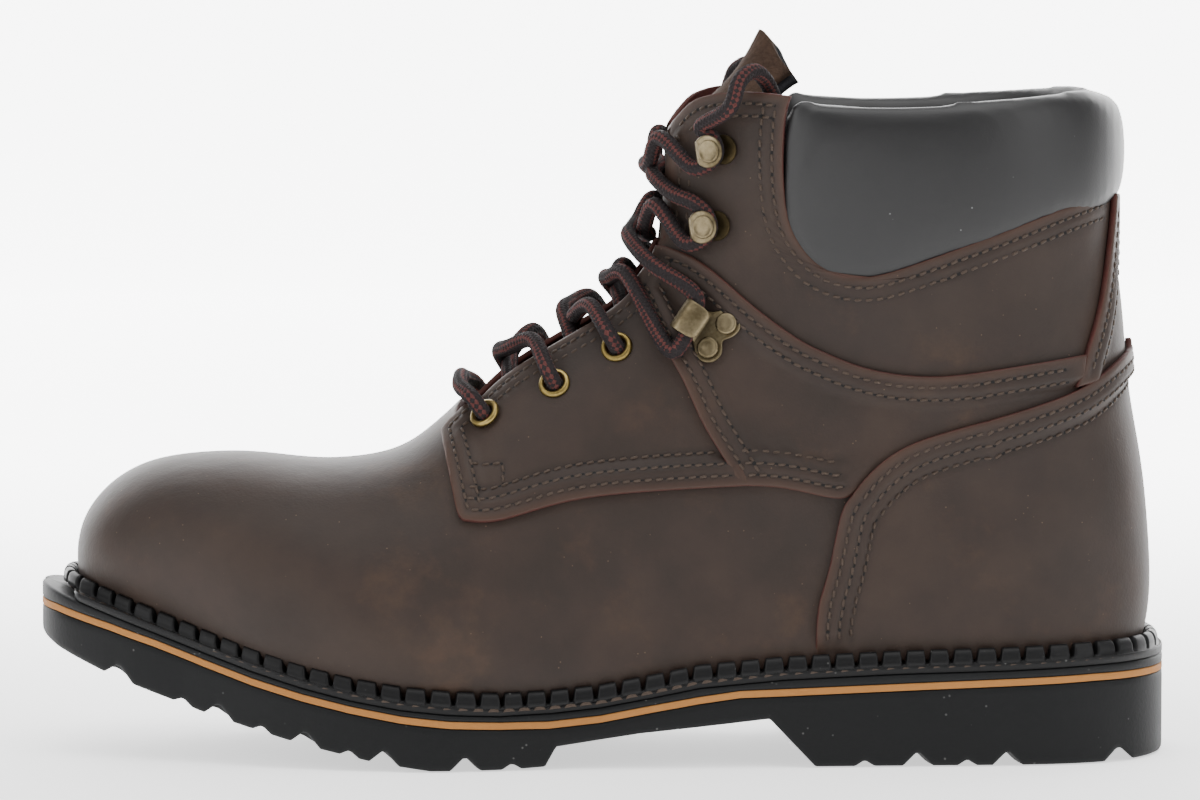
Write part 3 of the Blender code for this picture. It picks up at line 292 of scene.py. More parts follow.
def linear(red, green, blue):
    """Screen colour, 0 to 255, as light: the share plus 0.055, over 1.055, to the power 2.4."""
    return tuple(float(((c / 255 + 0.055) / 1.055) ** 2.4) for c in (red, green, blue)) + (1.0,)


class Finish:
    """A material with a Principled shader and helpers that add nodes to it."""

    def __init__(self, name, roughness=0.5, metallic=0.0, **steady):
        self.material = bpy.data.materials.new(name)
        self.material.use_nodes = True
        self.tree = self.material.node_tree
        self.shader = self.tree.nodes["Principled BSDF"]
        self.shader.inputs["Roughness"].default_value = roughness
        self.shader.inputs["Metallic"].default_value = metallic
        for socket, value in steady.items():
            self.shader.inputs[socket.replace("_", " ")].default_value = value

    def node(self, kind, settings=None, sockets=None, out=0):
        """Any node: its settings first, then the values or wires of its sockets."""
        node = self.tree.nodes.new(kind)
        for name, value in (settings or {}).items():
            setattr(node, name, value)
        for name, value in (sockets or {}).items():
            if isinstance(value, Wire):
                self.tree.links.new(value.socket, node.inputs[name])
            else:
                node.inputs[name].default_value = value
        return Wire(self, node.outputs[out])

    def place(self):
        return self.node("ShaderNodeTexCoord", out="Object")

    def stored(self, name):
        return self.node("ShaderNodeAttribute", {"attribute_name": name}, out="Fac")

    def noise(self, scale, detail=3.0, where=None, rough=0.55):
        return self.node("ShaderNodeTexNoise", {}, {"Vector": where or self.place(), "Scale": scale,
                                                     "Detail": detail, "Roughness": rough})

    def cells(self, scale, feature="F1", where=None, out="Distance"):
        return self.node("ShaderNodeTexVoronoi", {"feature": feature},
                         {"Vector": where or self.place(), "Scale": scale}, out=out)

    def blend(self, share, first, second):
        """Colour mix: first where share is 0, second where it is 1."""
        return self.node("ShaderNodeMix", {"data_type": "RGBA"}, {0: share, 6: first, 7: second}, out=2)

    def bump(self, height, strength, distance=0.001, below=None):
        sockets = {"Height": height, "Strength": strength, "Distance": distance}
        if below is not None:
            sockets["Normal"] = below
        return self.node("ShaderNodeBump", {}, sockets)

    def feed(self, socket, wire):
        self.tree.links.new(wire.socket, self.shader.inputs[socket])


print("wires ready")

# %% [markdown]
# Every surface we make is a grid of points, held as one numpy array. These helpers turn grids into
# meshes: a sheet, a tube that closes round its rows, or a shell with an inside and an edge band. Meshes
# are given whole arrays at once, and each piece is told which body it moves with and which solid it
# stands for.

# %% From arrays to meshes
def grid_faces(columns, rows, closed=False, start=0):
    """Quads (i, j), (i+1, j), (i+1, j+1), (i, j+1) for the whole grid; closed joins the last row to the first."""
    i = np.arange(columns - 1)[:, None]
    j = np.arange(rows if closed else rows - 1)[None]
    k = (j + 1) % rows
    quads = np.stack(np.broadcast_arrays(i * rows + j, (i + 1) * rows + j, (i + 1) * rows + k, i * rows + k), -1)
    return quads.reshape(-1, 4) + start


def build(name, points, quads, finishes, marks=None, slots=None, weld=True, smooth=True, sides=None):
    """A mesh object from points in millimetres and faces; marks are numbers stored at each point."""
    points = (np.asarray(points, float).reshape(-1, 3) + ORIGIN) * MM
    mesh = bpy.data.meshes.new(name)
    mesh.from_pydata(points.tolist(), [], quads.tolist() if hasattr(quads, "tolist") else quads)
    for mark, values in (marks or {}).items():
        mesh.attributes.new(mark, "FLOAT", "POINT").data.foreach_set("value", np.asarray(values, float).ravel())
    for finish in finishes:
        mesh.materials.append(finish.material)
    if slots is not None:
        mesh.polygons.foreach_set("material_index", np.asarray(slots, int))
    if sides is not None:
        layer = mesh.uv_layers.new(name="around")
        layer.data.foreach_set("uv", np.asarray(sides, float).ravel())
    mesh.polygons.foreach_set("use_smooth", [smooth] * len(mesh.polygons))
    thing = bpy.data.objects.new(name, mesh)
    bpy.context.scene.collection.objects.link(thing)
    if weld:
        tidy_mesh(thing)
    return thing


def tidy_mesh(thing):
    """Merges doubled points and turns every face outwards."""
    work = bmesh.new()
    work.from_mesh(thing.data)
    bmesh.ops.remove_doubles(work, verts=work.verts, dist=1e-6)
    bmesh.ops.dissolve_degenerate(work, edges=work.edges, dist=1e-7)
    bmesh.ops.recalc_face_normals(work, faces=work.faces)
    if not any(edge.is_boundary for edge in work.edges) and work.calc_volume(signed=True) < 0:
        bmesh.ops.reverse_faces(work, faces=work.faces)
    work.to_mesh(thing.data)
    work.free()


def belongs(thing, body, slot, *nodes):
    """Says which body a piece rides and which solids it stands for; the slot argument is not used."""
    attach(thing, body)
    if nodes:
        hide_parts(*nodes)
    print(f"{thing.name}: {len(thing.data.polygons)} faces")
    return thing


# %% [markdown]
# A round boot lace is braided from two families of strands that cross over and under each other. The
# braid is real geometry here: the tube's radius rises over whichever strand is on top. Its pattern is
# read from a UV map, once round the lace and once along it, and one family has burgundy strands.

# %% Lace finish
def make_lace_finish():
    lace = Finish("braided_lace", roughness=0.85, Specular_IOR_Level=0.2)
    around = lace.node("ShaderNodeUVMap", {"uv_map": "around"})
    split = lace.node("ShaderNodeSeparateXYZ", {}, {0: around})
    round_share, along = split, Wire(lace, split.socket.node.outputs[1])
    right = round_share * STRANDS + along / BRAID_PITCH
    left = round_share * STRANDS - along / BRAID_PITCH
    top = (right.whole() + left.whole()).rest(2.0).above(0.5, 0.1)
    stripe = (round_share * 3 + along / 55.0).rest(1.0).above(0.5, 0.06)
    red = top * stripe
    fibre = lace.noise(2600.0, 2.0)
    black = lace.blend(fibre, linear(18, 15, 16), linear(44, 38, 39))
    burgundy = lace.blend(fibre, linear(56, 26, 26), linear(94, 54, 50))
    lace.feed("Base Color", lace.blend(red, black, burgundy))
    ridge = (right * math.pi).wave().size() * (1 - top) + (left * math.pi).wave().size() * top
    lace.feed("Normal", lace.bump(fibre, 0.4, 0.0002, lace.bump(ridge, 0.5, 0.0004)))
    return lace


STRANDS = 8.0
BRAID_PITCH = 1.3
LACE_FINISH = make_lace_finish()
print("lace finish:", len(LACE_FINISH.tree.nodes), "nodes")

# %% [markdown]
# The lace runs in the same way as its solid: a bar over the lowest eyelets, crossings up through the
# other eyelets, then round the hooks, and both ends go over the top of the shaft into the boot. The
# route's points are given here again in millimetres. Its length is about 1.27 m with its two aglets.

# %% Lace route
EYELETS = ((-30, 93), (-12, 102), (5, 112))
HOOKS = ((31, 146), (33, 167))
PLATE_HOOK = (27.5, 118.5)
PLATE_RIVETS = ((35, 119), (30, 112.5))
PLATE_TURN = ((-9.7, -2.6), (-6.0, -1.2), (0, -1.9), (5.4, -2.4), (7.4, -5.2))
ROUND_TURN = ((-5.6, -4.0), (-3.7, -0.2), (0, 1.9), (3.7, -0.2), (5.6, -4.0))
TAIL = ((35, 39.5, 179), (38, 38, 186.5), (42, 33.5, 188.5), (46, 28.5, 184), (49, 26, 172),
        (51, 25.7, 150), (54, 25.5, 125), (57, 25.5, 102), (58.5, 25.5, 88))


def at_spot(point, side):
    """Surface point and normal under a side-view point; side is -1 lateral, 1 medial."""
    place = seen([point])[0] * np.array([1, -side])
    return last_point(place[0], place[1]), last_normal(place[0], place[1])


def across_throat(station, y, offset):
    """Point over the throat at distance y from the centre plane, offset out from the last."""
    place = at_width([station], abs(y))[0]
    if y > 0:
        place = place * np.array([1, -1])
    return skin(place, np.array(offset))


def eyelet_turn(number, here, station):
    """The lace over the facing's edge and down through one eyelet."""
    spot, normal = at_spot(EYELETS[number], here)
    rise = 1.7 if number == 0 else 0.0
    throat = across_throat(station + 0.05, here * 16.5, 6.2 + rise)
    inwards = across_throat(station + 0.35, here * 18.5, -5.7)
    way = throat - spot - normal * np.dot(throat - spot, normal)
    way /= np.linalg.norm(way)
    turn = [] if number == 0 else [throat]
    return turn + [spot + normal * (6.4 + rise) + way * 2.7, spot + normal * (3.2 + rise), spot,
                   spot - normal * 3.4, spot - normal * 6.1 + way * 2.8, inwards]


def hook_turn(number, here):
    """The lace round one hook, from below it to above it."""
    spot, normal = at_spot(((PLATE_HOOK,) + HOOKS)[number], here)
    up = np.array([0.25 if number else 0.45, 0, 1.0])
    up -= np.dot(up, normal) * normal
    up /= np.linalg.norm(up)
    rear = np.array([1.0, 0, 0]) - np.dot([1.0, 0, 0], normal) * normal
    rear -= np.dot(rear, up) * up
    rear /= np.linalg.norm(rear)
    centre = spot + normal * (6.1 if number else 7.3)
    return [centre + up * a + rear * b for a, b in (ROUND_TURN if number else PLATE_TURN)]


def strand(side, low):
    """One half of the lace, from its first eyelet up to its end; side is where it starts."""
    cross, route, here = -0.6 if low else 3.9, [], side
    for number, point in enumerate(EYELETS):
        station = seen([point])[0, 0]
        route += eyelet_turn(number, here, station)
        route.append(across_throat(station + 0.5, here * 11.0, -2.6))
        route.append(across_throat(station + 0.6, 0, cross))
        here = -here
        route.append(across_throat(station + 0.75, here * 9.0, 2.4 if low else 4.6))
    for number, point in enumerate((PLATE_HOOK,) + HOOKS):
        station = seen([point])[0, 0]
        route.append(across_throat(station - 0.35, here * 15.5, 5.8))
        route += hook_turn(number, here)
        if number < 2:
            over = 5.4 if number else 8.0
            route.append(across_throat(station + 0.38, here * 20.0, over))
            route.append(across_throat(station + 0.55, here * 12.0, over - 0.6))
            route.append(across_throat(station + 0.75, 0, 0.6 if low else 5.2))
            here = -here
            route.append(across_throat(station + 1.0, here * 10.0, 3.6 if low else 5.4))
    return route + [np.array([x, here * reach, z]) for x, reach, z in TAIL]


def lace_route():
    lateral, medial = strand(-1, True), strand(1, False)
    station = seen([EYELETS[0]])[0, 0]
    bar = [across_throat(station - 0.05, side * reach, offset)
           for side, reach, offset in ((1, 16.5, 7.8), (1, 8, 6.4), (1, 0, 6.0), (-1, 8, 6.4), (-1, 16.5, 7.8))]
    return np.array(medial[::-1] + bar + lateral)


def smooth_route(points, step):
    """Centripetal Catmull-Rom: two blends of blends between knots spaced by the root of each distance."""
    ends = np.concatenate([[2 * points[0] - points[1]], points, [2 * points[-1] - points[-2]]])
    p = [ends[k:len(ends) - 3 + k][:, None] for k in range(4)]
    gap = [np.maximum(np.linalg.norm(b - a, axis=-1, keepdims=True), 1e-6) ** 0.5 for a, b in zip(p, p[1:])]
    k0 = np.zeros_like(gap[0])
    k1, k2, k3 = gap[0], gap[0] + gap[1], gap[0] + gap[1] + gap[2]
    t = k1 + (k2 - k1) * np.linspace(0, 1, 16, endpoint=False)[None, :, None]
    a1 = ((k1 - t) * p[0] + (t - k0) * p[1]) / (k1 - k0)
    a2 = ((k2 - t) * p[1] + (t - k1) * p[2]) / (k2 - k1)
    a3 = ((k3 - t) * p[2] + (t - k2) * p[3]) / (k3 - k2)
    b1 = ((k2 - t) * a1 + (t - k0) * a2) / (k2 - k0)
    b2 = ((k3 - t) * a2 + (t - k1) * a3) / (k3 - k1)
    dense = (((k2 - t) * b1 + (t - k1) * b2) / (k2 - k1)).reshape(-1, 3)
    dense = np.concatenate([dense, points[-1:]])
    length = np.concatenate([[0], np.cumsum(np.linalg.norm(np.diff(dense, axis=0), axis=1))])
    wanted = np.linspace(0, length[-1], int(round(length[-1] / step)) + 1)
    return np.stack([np.interp(wanted, length, dense[:, k]) for k in range(3)], -1)


LACE_PATH = smooth_route(lace_route(), 0.4)

# %% [markdown]
# A tube along a path needs a pair of directions that turns as little as possible from ring to ring, or
# the braid would twist. Each pair is the last one, made square to the new direction of the path.

# %% Lace and aglets
def carried(path):
    """Unit tangents, and a pair of normals carried along the path with the least turn."""
    tangent = np.gradient(path, axis=0)
    tangent /= np.linalg.norm(tangent, axis=1, keepdims=True)
    first = np.zeros_like(path)
    way = np.cross(tangent[0], [0.3, 0.9, 0.2])
    for k in range(len(path)):
        way = way - np.dot(way, tangent[k]) * tangent[k]
        way /= np.linalg.norm(way)
        first[k] = way
    return tangent, first, np.cross(tangent, first)


def braid_height(share, along):
    """Rise of the strand on top: the absolute sine of whichever family's place the checkerboard picks."""
    right = share * STRANDS + along / BRAID_PITCH
    left = share * STRANDS - along / BRAID_PITCH
    even = (np.floor(right) + np.floor(left)) % 2 < 1
    return np.abs(np.sin(np.pi * np.where(even, right, left))) ** 0.6


def tube(name, path, radius, finish, sides=20, height=None, round_ends=0.0):
    """Rings of points round a path: centre + radius x (cosine x first + sine x second)."""
    _, first, second = carried(path)
    along = np.concatenate([[0], np.cumsum(np.linalg.norm(np.diff(path, axis=0), axis=1))])
    share = np.linspace(0, 1, sides + 1)
    size = np.full((len(path), sides + 1), float(radius))
    if height is not None:
        size = size + height(share[None], along[:, None])
    ends = np.minimum(along, along[-1] - along)[:, None]
    if round_ends:
        size = size * np.sqrt(np.clip(1 - (1 - np.clip(ends / round_ends, 0, 1)) ** 2, 0.0001, 1))
    angle = 2 * np.pi * share[None, :, None]
    points = path[:, None] + size[..., None] * (np.cos(angle) * first[:, None] + np.sin(angle) * second[:, None])
    points[:, -1] = points[:, 0]
    quads = grid_faces(len(path), sides + 1)
    uv = np.stack(np.broadcast_arrays(share[None], along[:, None]), -1).reshape(-1, 2)
    return build(name, points, quads, [finish], sides=uv[quads.ravel()])


def make_lace():
    lace = tube("lace_braid", LACE_PATH, 1.95, LACE_FINISH, 32,
                lambda share, along: 0.3 * braid_height(share, along), round_ends=0.8)
    belongs(lace, "boot", "lace_braid", "lace")
    aglet = Finish("aglet_plastic", roughness=0.25)
    aglet.feed("Base Color", aglet.blend(aglet.noise(300.0), linear(24, 22, 24), linear(40, 34, 36)))
    for word, tip, before in (("medial", LACE_PATH[0], LACE_PATH[1]), ("lateral", LACE_PATH[-1], LACE_PATH[-2])):
        way = (tip - before) / np.linalg.norm(tip - before)
        path = tip + way * np.linspace(0.4, 22, 30)[:, None]
        piece = tube("aglet_sleeve_" + word, path, 1.9, aglet, 16, round_ends=0.5)
        belongs(piece, "boot", "aglet_plastic", "aglet_" + word)


make_lace()

# %% [markdown]
# The stage is a pale floor and soft light from above and both sides. Large lamps give the long, soft
# highlights that show a round toe and a padded collar without hard shadows.

# %% Floor and lights
def make_floor():
    """A floor that curves up into a wall behind, and glows more and more towards the back."""
    angle = np.radians(np.linspace(0, 90, 24))
    profile = [(-3000, -0.3), (0, -0.3)] + [(1900 + 500 * math.sin(a), 499.7 - 500 * math.cos(a)) for a in angle]
    profile += [(2400, 2500)]
    points = np.array([[(x, y, z) for y, z in profile] for x in (-3000, 3000)]) - ORIGIN
    pale = Finish("pale_floor", roughness=0.9, Specular_IOR_Level=0.1)
    pale.shader.inputs["Base Color"].default_value = (0.88, 0.88, 0.88, 1)
    pale.shader.inputs["Emission Strength"].default_value = 5.5
    depth = pale.node("ShaderNodeSeparateXYZ", {}, {0: pale.place()}, out=1)
    pale.feed("Emission Color", pale.blend(depth.above(0.45, 0.5), (0.19, 0.19, 0.19, 1), (1.0, 1.0, 1.0, 1)))
    build("floor", points, grid_faces(*points.shape[:2])[:, ::-1], [pale], weld=False)


def lamp(name, place, target, size, power):
    """A square soft lamp whose local z points away from its target."""
    data = bpy.data.lights.new(name, "AREA")
    data.shape = "RECTANGLE"
    data.size, data.size_y = size
    data.energy = power
    thing = bpy.data.objects.new(name, data)
    bpy.context.scene.collection.objects.link(thing)
    thing.location = place
    away = np.array(place, float) - np.array(target, float)
    thing.rotation_euler = (math.atan2(math.hypot(away[0], away[1]), away[2]), 0, math.atan2(away[0], -away[1]))


def make_light():
    world = bpy.data.worlds.new("studio")
    world.use_nodes = True
    world.node_tree.nodes["Background"].inputs["Color"].default_value = (1.0, 1.0, 1.0, 1)
    world.node_tree.nodes["Background"].inputs["Strength"].default_value = 0.55
    bpy.context.scene.world = world
    lamp("lamp_above", (0.1, -0.3, 1.5), (0, 0, 0.1), (1.6, 1.2), 20)
    lamp("lamp_left", (-1.3, -0.9, 0.7), (0, 0, 0.1), (0.9, 1.2), 11)
    lamp("lamp_right", (1.3, -0.9, 0.8), (0, 0, 0.1), (0.9, 1.2), 9)


make_floor()
make_light()
print("stage set")

# %% [markdown]
# Oiled nubuck is leather whose outer face has been sanded and waxed. It is dark, but never one brown:
# wax wanders in soft patches, fine scratches and specks are lighter, and the raw cut edge of a panel is
# reddish. The panel meshes carry three numbers at each point, and the finish reads them: cut is 1 on
# the raw edge, a second number is high near every free edge, where the colour is made lighter and
# redder as burnished wear and a painted highlight on the rounded edge, and seam is high along a stitch row.

# %% Leather finish
def make_leather(name, dark, middle, light, edge, patch_scale=22.0):
    leather = Finish(name, roughness=0.6, Specular_IOR_Level=0.22)
    patches = leather.noise(patch_scale, 5.0, rough=0.6)
    cloud = leather.noise(75.0, 4.0)
    grain = leather.noise(1500.0, 3.0)
    colour = leather.blend((patches * 1.3 + cloud * 0.5).above(0.95, 0.3), dark, middle)
    colour = leather.blend((leather.noise(34.0, 6.0, rough=0.7)).above(0.66, 0.12) * 0.4, colour, light)
    colour = leather.blend((grain - 0.5).size() * 0.5, colour, middle)
    dots = leather.cells(420.0)
    chosen = leather.noise(190.0, 1.0).above(0.60, 0.03)
    specks = (1 - dots.above(0.085, 0.03)) * chosen
    colour = leather.blend(specks * 0.3, colour, linear(130, 104, 84))
    edge_wear_and_highlight, cut, seam = leather.stored("edge_wear_and_highlight"), leather.stored("cut"), leather.stored("seam")
    # Near every free edge the colour goes lighter and redder: partly burnished wear, partly a painted highlight on the
    # rounded edge.
    colour = leather.blend(edge_wear_and_highlight * 0.45 * patches, colour, light)
    colour = leather.blend(edge_wear_and_highlight * 0.35, colour, linear(72, 47, 38))
    colour = leather.blend(seam * 0.45, colour, linear(30, 24, 22))
    fuzz = leather.noise(900.0, 3.0)
    colour = leather.blend(cut * (0.75 + fuzz * 0.25), colour, leather.blend(fuzz, edge, linear(58, 30, 28)))
    leather.feed("Base Color", colour)
    leather.feed("Roughness", 0.50 + patches * 0.16 + cut * 0.25 - edge_wear_and_highlight * 0.08)
    pores = leather.cells(1150.0)
    fine = leather.bump(grain * 0.5 + pores * 0.5, 0.22, 0.00025)
    broad = leather.bump(leather.noise(140.0, 4.0), 0.16, 0.0012, fine)
    leather.feed("Normal", broad)
    return leather


LEATHER_FINISH = make_leather("oiled_nubuck", linear(41, 33, 29), linear(53, 42, 36), linear(78, 57, 42),
                              linear(84, 38, 33))
print("leather nodes:", len(LEATHER_FINISH.tree.nodes))

# %% [markdown]
# A panel is a Coons patch: four border lines given as places on the last, and every inner place blended
# from them. Grid lines are packed close to each border, so that the rounded edge and the grooves under
# the stitch rows have points where they need them. The offset from the last says how high the panel
# lies: a lapped edge is lifted over the panel under it and comes down again a few millimetres in.

# %% Panels of the last
THICK = 1.8
LEATHER_AT = 0.4
LAP, LAP_FLAT, LAP_RAMP = 2.9, 5.5, 3.5
PLAIN_EDGE = (0, 0.12, 0.35, 0.7, 1.2, 1.8)


def edge_marks(rows):
    """Distances of the grid lines from a border: close at the edge, then 0.7 apart past its last stitch row."""
    if not len(rows):
        return np.array(PLAIN_EDGE)
    return np.concatenate([PLAIN_EDGE, np.arange(2.5, rows[-1] + 1.6, 0.7)])


def shares(length, near, far, count):
    """Grid shares along a border: near distances, even steps between, far distances, over the length."""
    if length < 1e-6:
        return np.linspace(0, 1, len(near) + count + len(far))
    room = near[-1] + far[-1] + 2.0
    fit = min(1.0, length / room)
    first, last = near * fit, length - far[::-1] * fit
    middle = np.linspace(first[-1], last[0], count + 2)[1:-1]
    return np.concatenate([first, middle, last]) / length


def read_at(line, wanted):
    """The border line read at shares of its length."""
    spots = last_point(line[:, 0], line[:, 1])
    length = np.concatenate([[0], np.cumsum(np.linalg.norm(np.diff(spots, axis=0), axis=1))])
    return np.stack([np.interp(wanted * length[-1], length, line[:, k]) for k in (0, 1)], -1)


def length_of(line):
    spots = last_point(line[:, 0], line[:, 1])
    return np.linalg.norm(np.diff(spots, axis=0), axis=1).sum()


def met(line, share, first, last):
    """The line moved so its ends meet two corners: each end's miss is shared out along it."""
    share = share[:, None]
    return line + (1 - share) * (first - line[0]) + share * (last - line[-1])


def coons(low, high, start, end, rows, count_u, count_v):
    """Coons patch: ruled blend both ways, less the corner blend; the shares follow each border's length."""
    marks = {side: edge_marks(rows.get(side, ())) for side in ("low", "high", "start", "end")}
    u_low = shares(length_of(low), marks["start"], marks["end"], count_u)
    u_high = shares(length_of(high), marks["start"], marks["end"], count_u)
    v_start = shares(length_of(start), marks["low"], marks["high"], count_v)
    v_end = shares(length_of(end), marks["low"], marks["high"], count_v)
    low, high = read_at(low, u_low), read_at(high, u_high)
    start = met(read_at(start, v_start), v_start, low[0], high[0])
    end = met(read_at(end, v_end), v_end, low[-1], high[-1])
    even_v, even_u = (v_start + v_end) / 2, (u_low + u_high) / 2
    u = (u_low[:, None] * (1 - even_v) + u_high[:, None] * even_v)[..., None]
    v = (v_start[None] * (1 - even_u[:, None]) + v_end[None] * even_u[:, None])[..., None]
    ruled = (1 - v) * low[:, None] + v * high[:, None] + (1 - u) * start[None] + u * end[None]
    corners = (1 - u) * ((1 - v) * low[0] + v * high[0]) + u * ((1 - v) * low[-1] + v * high[-1])
    return ruled - corners


def away_from(spots, border):
    """Shortest distance from each grid point to a border polyline's points."""
    flat = spots.reshape(-1, 1, 3)
    parts = [np.linalg.norm(flat[k:k + 3000] - border[None], axis=-1).min(axis=1) for k in range(0, len(flat), 3000)]
    return np.concatenate(parts).reshape(spots.shape[:2])


def dense(line, step=0.4):
    """A polyline read every step millimetres, so distances to its points are near enough to it."""
    length = np.concatenate([[0], np.cumsum(np.linalg.norm(np.diff(line, axis=0), axis=1))])
    wanted = np.linspace(0, length[-1], max(int(length[-1] / step), 2))
    return np.stack([np.interp(wanted, length, line[:, k]) for k in range(3)], -1)


def borders_of(places):
    """The four border lines of a grid of places, as dense 3D polylines."""
    spots = last_point(places[..., 0], places[..., 1])
    lines = {"low": spots[:, 0], "high": spots[:, -1], "start": spots[0], "end": spots[-1]}
    return {side: dense(line) for side, line in lines.items()}


def distances_to(borders, spots):
    return {side: away_from(spots, line) for side, line in borders.items()}


def lift_near(away, edges):
    """Full lap height to its flat width, then a smooth ramp down; edges gives each side's height."""
    lift = np.zeros_like(away["low"])
    for side, tall in edges.items():
        ramp = np.clip(1 - (away[side] - LAP_FLAT) / LAP_RAMP, 0, 1)
        lift = np.maximum(lift, tall * ramp * ramp * (3 - 2 * ramp))
    return lift


def wander(points):
    """A soft unevenness of the leather, the same for every layer: a sum of three slow sine waves."""
    x, y, z = points[..., 0], -np.abs(points[..., 1]), points[..., 2]
    return 0.16 * (np.sin(x * 0.11 + z * 0.07 + 1.0) + np.sin(x * 0.053 - z * 0.15 + y * 0.05)
                   + 0.6 * np.sin(x * 0.21 + z * 0.17 + 2.2))


def slide(places, way):
    """Places moved by a small 3D step on the last: least squares with the last's two slopes."""
    station, angle = places[:, 0], places[:, 1]
    by_station = (last_point(station + 0.01, angle) - last_point(station - 0.01, angle)) / 0.02
    by_angle = (last_point(station, angle + 0.01) - last_point(station, angle - 0.01)) / 0.02
    a, b, c = ((x * y).sum(-1) for x, y in ((by_station, by_station), (by_station, by_angle), (by_angle, by_angle)))
    d, e = (by_station * way).sum(-1), (by_angle * way).sum(-1)
    scale = np.maximum(a * c - b * b, 1e-6)
    return places + np.stack([(c * d - b * e) / scale, (a * e - b * d) / scale], -1)


def side_step(places, sign=1.0):
    """Unit steps over the last at right angles to a line of places."""
    spots = last_point(places[:, 0], places[:, 1])
    step = np.cross(last_normal(places[:, 0], places[:, 1]), np.gradient(spots, axis=0)) * sign
    return step / np.maximum(np.linalg.norm(step, axis=1, keepdims=True), 1e-9)


def inward(grid, side):
    """Which way side_step points into the grid from one of its borders: 1 or -1."""
    turned = {"low": grid, "high": grid[:, ::-1], "start": grid.swapaxes(0, 1),
              "end": grid[::-1].swapaxes(0, 1)}[side]
    edge, inner = turned[:, 0], turned[:, 6]
    step = last_point(inner[:, 0], inner[:, 1]) - last_point(edge[:, 0], edge[:, 1])
    return np.sign((step * side_step(edge)).sum())


def inset(line, distance, sign):
    """A border line moved inwards over the last by small side steps."""
    places = read_at(line, np.linspace(0, 1, max(int(length_of(line) / 0.8), 4)))
    steps = int(np.ceil(distance / 0.8))
    for _ in range(steps):
        places = slide(places, side_step(places, sign) * distance / steps)
        places[1:-1] = (places[:-2] + 2 * places[1:-1] + places[2:]) / 4
    return places


def runs_of(good, values):
    """The stretches of values where good stays true."""
    marks = np.diff(np.concatenate([[0], good.astype(int), [0]]))
    return [values[a:b] for a, b in zip(np.nonzero(marks == 1)[0], np.nonzero(marks == -1)[0]) if b - a > 4]


def row_places(lines, rows, borders, grid, keep=None):
    """All stitch rows as places: each border moved inwards, cut where it nears any other border."""
    found = []
    for side, distances in rows.items():
        for distance in distances:
            places = inset(lines[side], distance, inward(grid, side))
            spots = last_point(places[:, 0], places[:, 1])
            away = distances_to(borders, spots[:, None])
            good = away[side][:, 0] > distance - 0.35
            for other in borders:
                if other != side:
                    good &= away[other][:, 0] > 2.4
            if keep is not None:
                good &= keep(spots, side)
            found += runs_of(good, places)
    return found


ROUND = 0.75
SINK = 0.24


def shell(name, places, away, lift=None, rows=(), thick=THICK, at=LEATHER_AT, finish=None,
          free=("low", "high", "start", "end")):
    """A closed panel: outer grid, inner grid, and a band round the border. The outer grid drops by
    r - the root of r squared less (r - distance) squared near free borders, which rounds the edge, and
    by a bell curve of the distance to the stitch rows, which sinks the thread."""
    spots = last_point(places[..., 0], places[..., 1])
    base = at + wander(spots) + (0 if lift is None else lift)
    near = np.min([away[side] for side in free], axis=0)
    within = ROUND - np.clip(near, 0, ROUND)
    drop = ROUND - np.sqrt(ROUND ** 2 - within ** 2)
    groove = np.zeros_like(near)
    if len(rows):
        sewn = np.concatenate([last_point(row[:, 0], row[:, 1]) for row in rows])
        groove = np.exp(-(away_from(spots, sewn) / 0.8) ** 2)
    outer = skin(places, base + thick - drop - SINK * groove)
    inner = skin(places, base)
    columns, lines = outer.shape[:2]
    size = columns * lines
    quads = np.concatenate([grid_faces(columns, lines), grid_faces(columns, lines, start=size)[:, ::-1],
                            rim_faces(columns, lines, size)])
    cut = np.concatenate([np.clip(1 - near / 0.3, 0, 1).ravel(), np.ones(size)])
    # Mask near free edges, for burnished wear and a painted highlight on the rounded edge.
    edge_wear_and_highlight = np.concatenate([np.exp(-near / 1.6).ravel(), np.zeros(size)])
    seam = np.concatenate([groove.ravel(), np.zeros(size)])
    return build(name, np.concatenate([outer.reshape(-1, 3), inner.reshape(-1, 3)]), quads,
                 [finish or LEATHER_FINISH], {"cut": cut, "edge_wear_and_highlight": edge_wear_and_highlight, "seam": seam})


def rim_faces(columns, lines, size):
    """Quads between the outer and the inner grid, round the border."""
    across = np.arange(lines)
    along = np.arange(columns)
    loop = np.concatenate([across, along[1:] * lines + lines - 1, (columns - 1) * lines + across[-2::-1],
                           along[-2:0:-1] * lines])
    after = np.roll(loop, -1)
    return np.stack([loop, loop + size, after + size, after], -1)


print("panel tools ready")

# %% [markdown]
# A stitch is a short bridge of thick waxed thread that dives into a needle hole at each end. There are
# well over a thousand, so each one is only a few dozen faces, and all the stitches of a panel are one
# mesh. They follow grid lines of the panel itself, which lie at fixed distances from its edge.

# %% Stitches
STITCH_PITCH = 3.0
STITCH_LENGTH = 2.35
THREAD = 0.36


def make_thread():
    thread = Finish("waxed_thread", roughness=0.6, Specular_IOR_Level=0.25)
    fibre = thread.noise(2200.0, 2.0)
    thread.feed("Base Color", thread.blend(fibre, linear(44, 35, 29), linear(76, 63, 53)))
    thread.feed("Normal", thread.bump(fibre, 0.5, 0.0003))
    return thread


def make_hole_shade():
    # Near-black caps at each needle hole: painted shade where the thread goes into the leather.
    hole = Finish("needle_hole_painted_shade", roughness=0.95)
    hole.feed("Base Color", hole.blend(hole.noise(500.0), linear(5, 4, 4), linear(12, 10, 9)))
    return hole


THREAD_FINISH = make_thread()
HOLE_SHADE_FINISH = make_hole_shade()


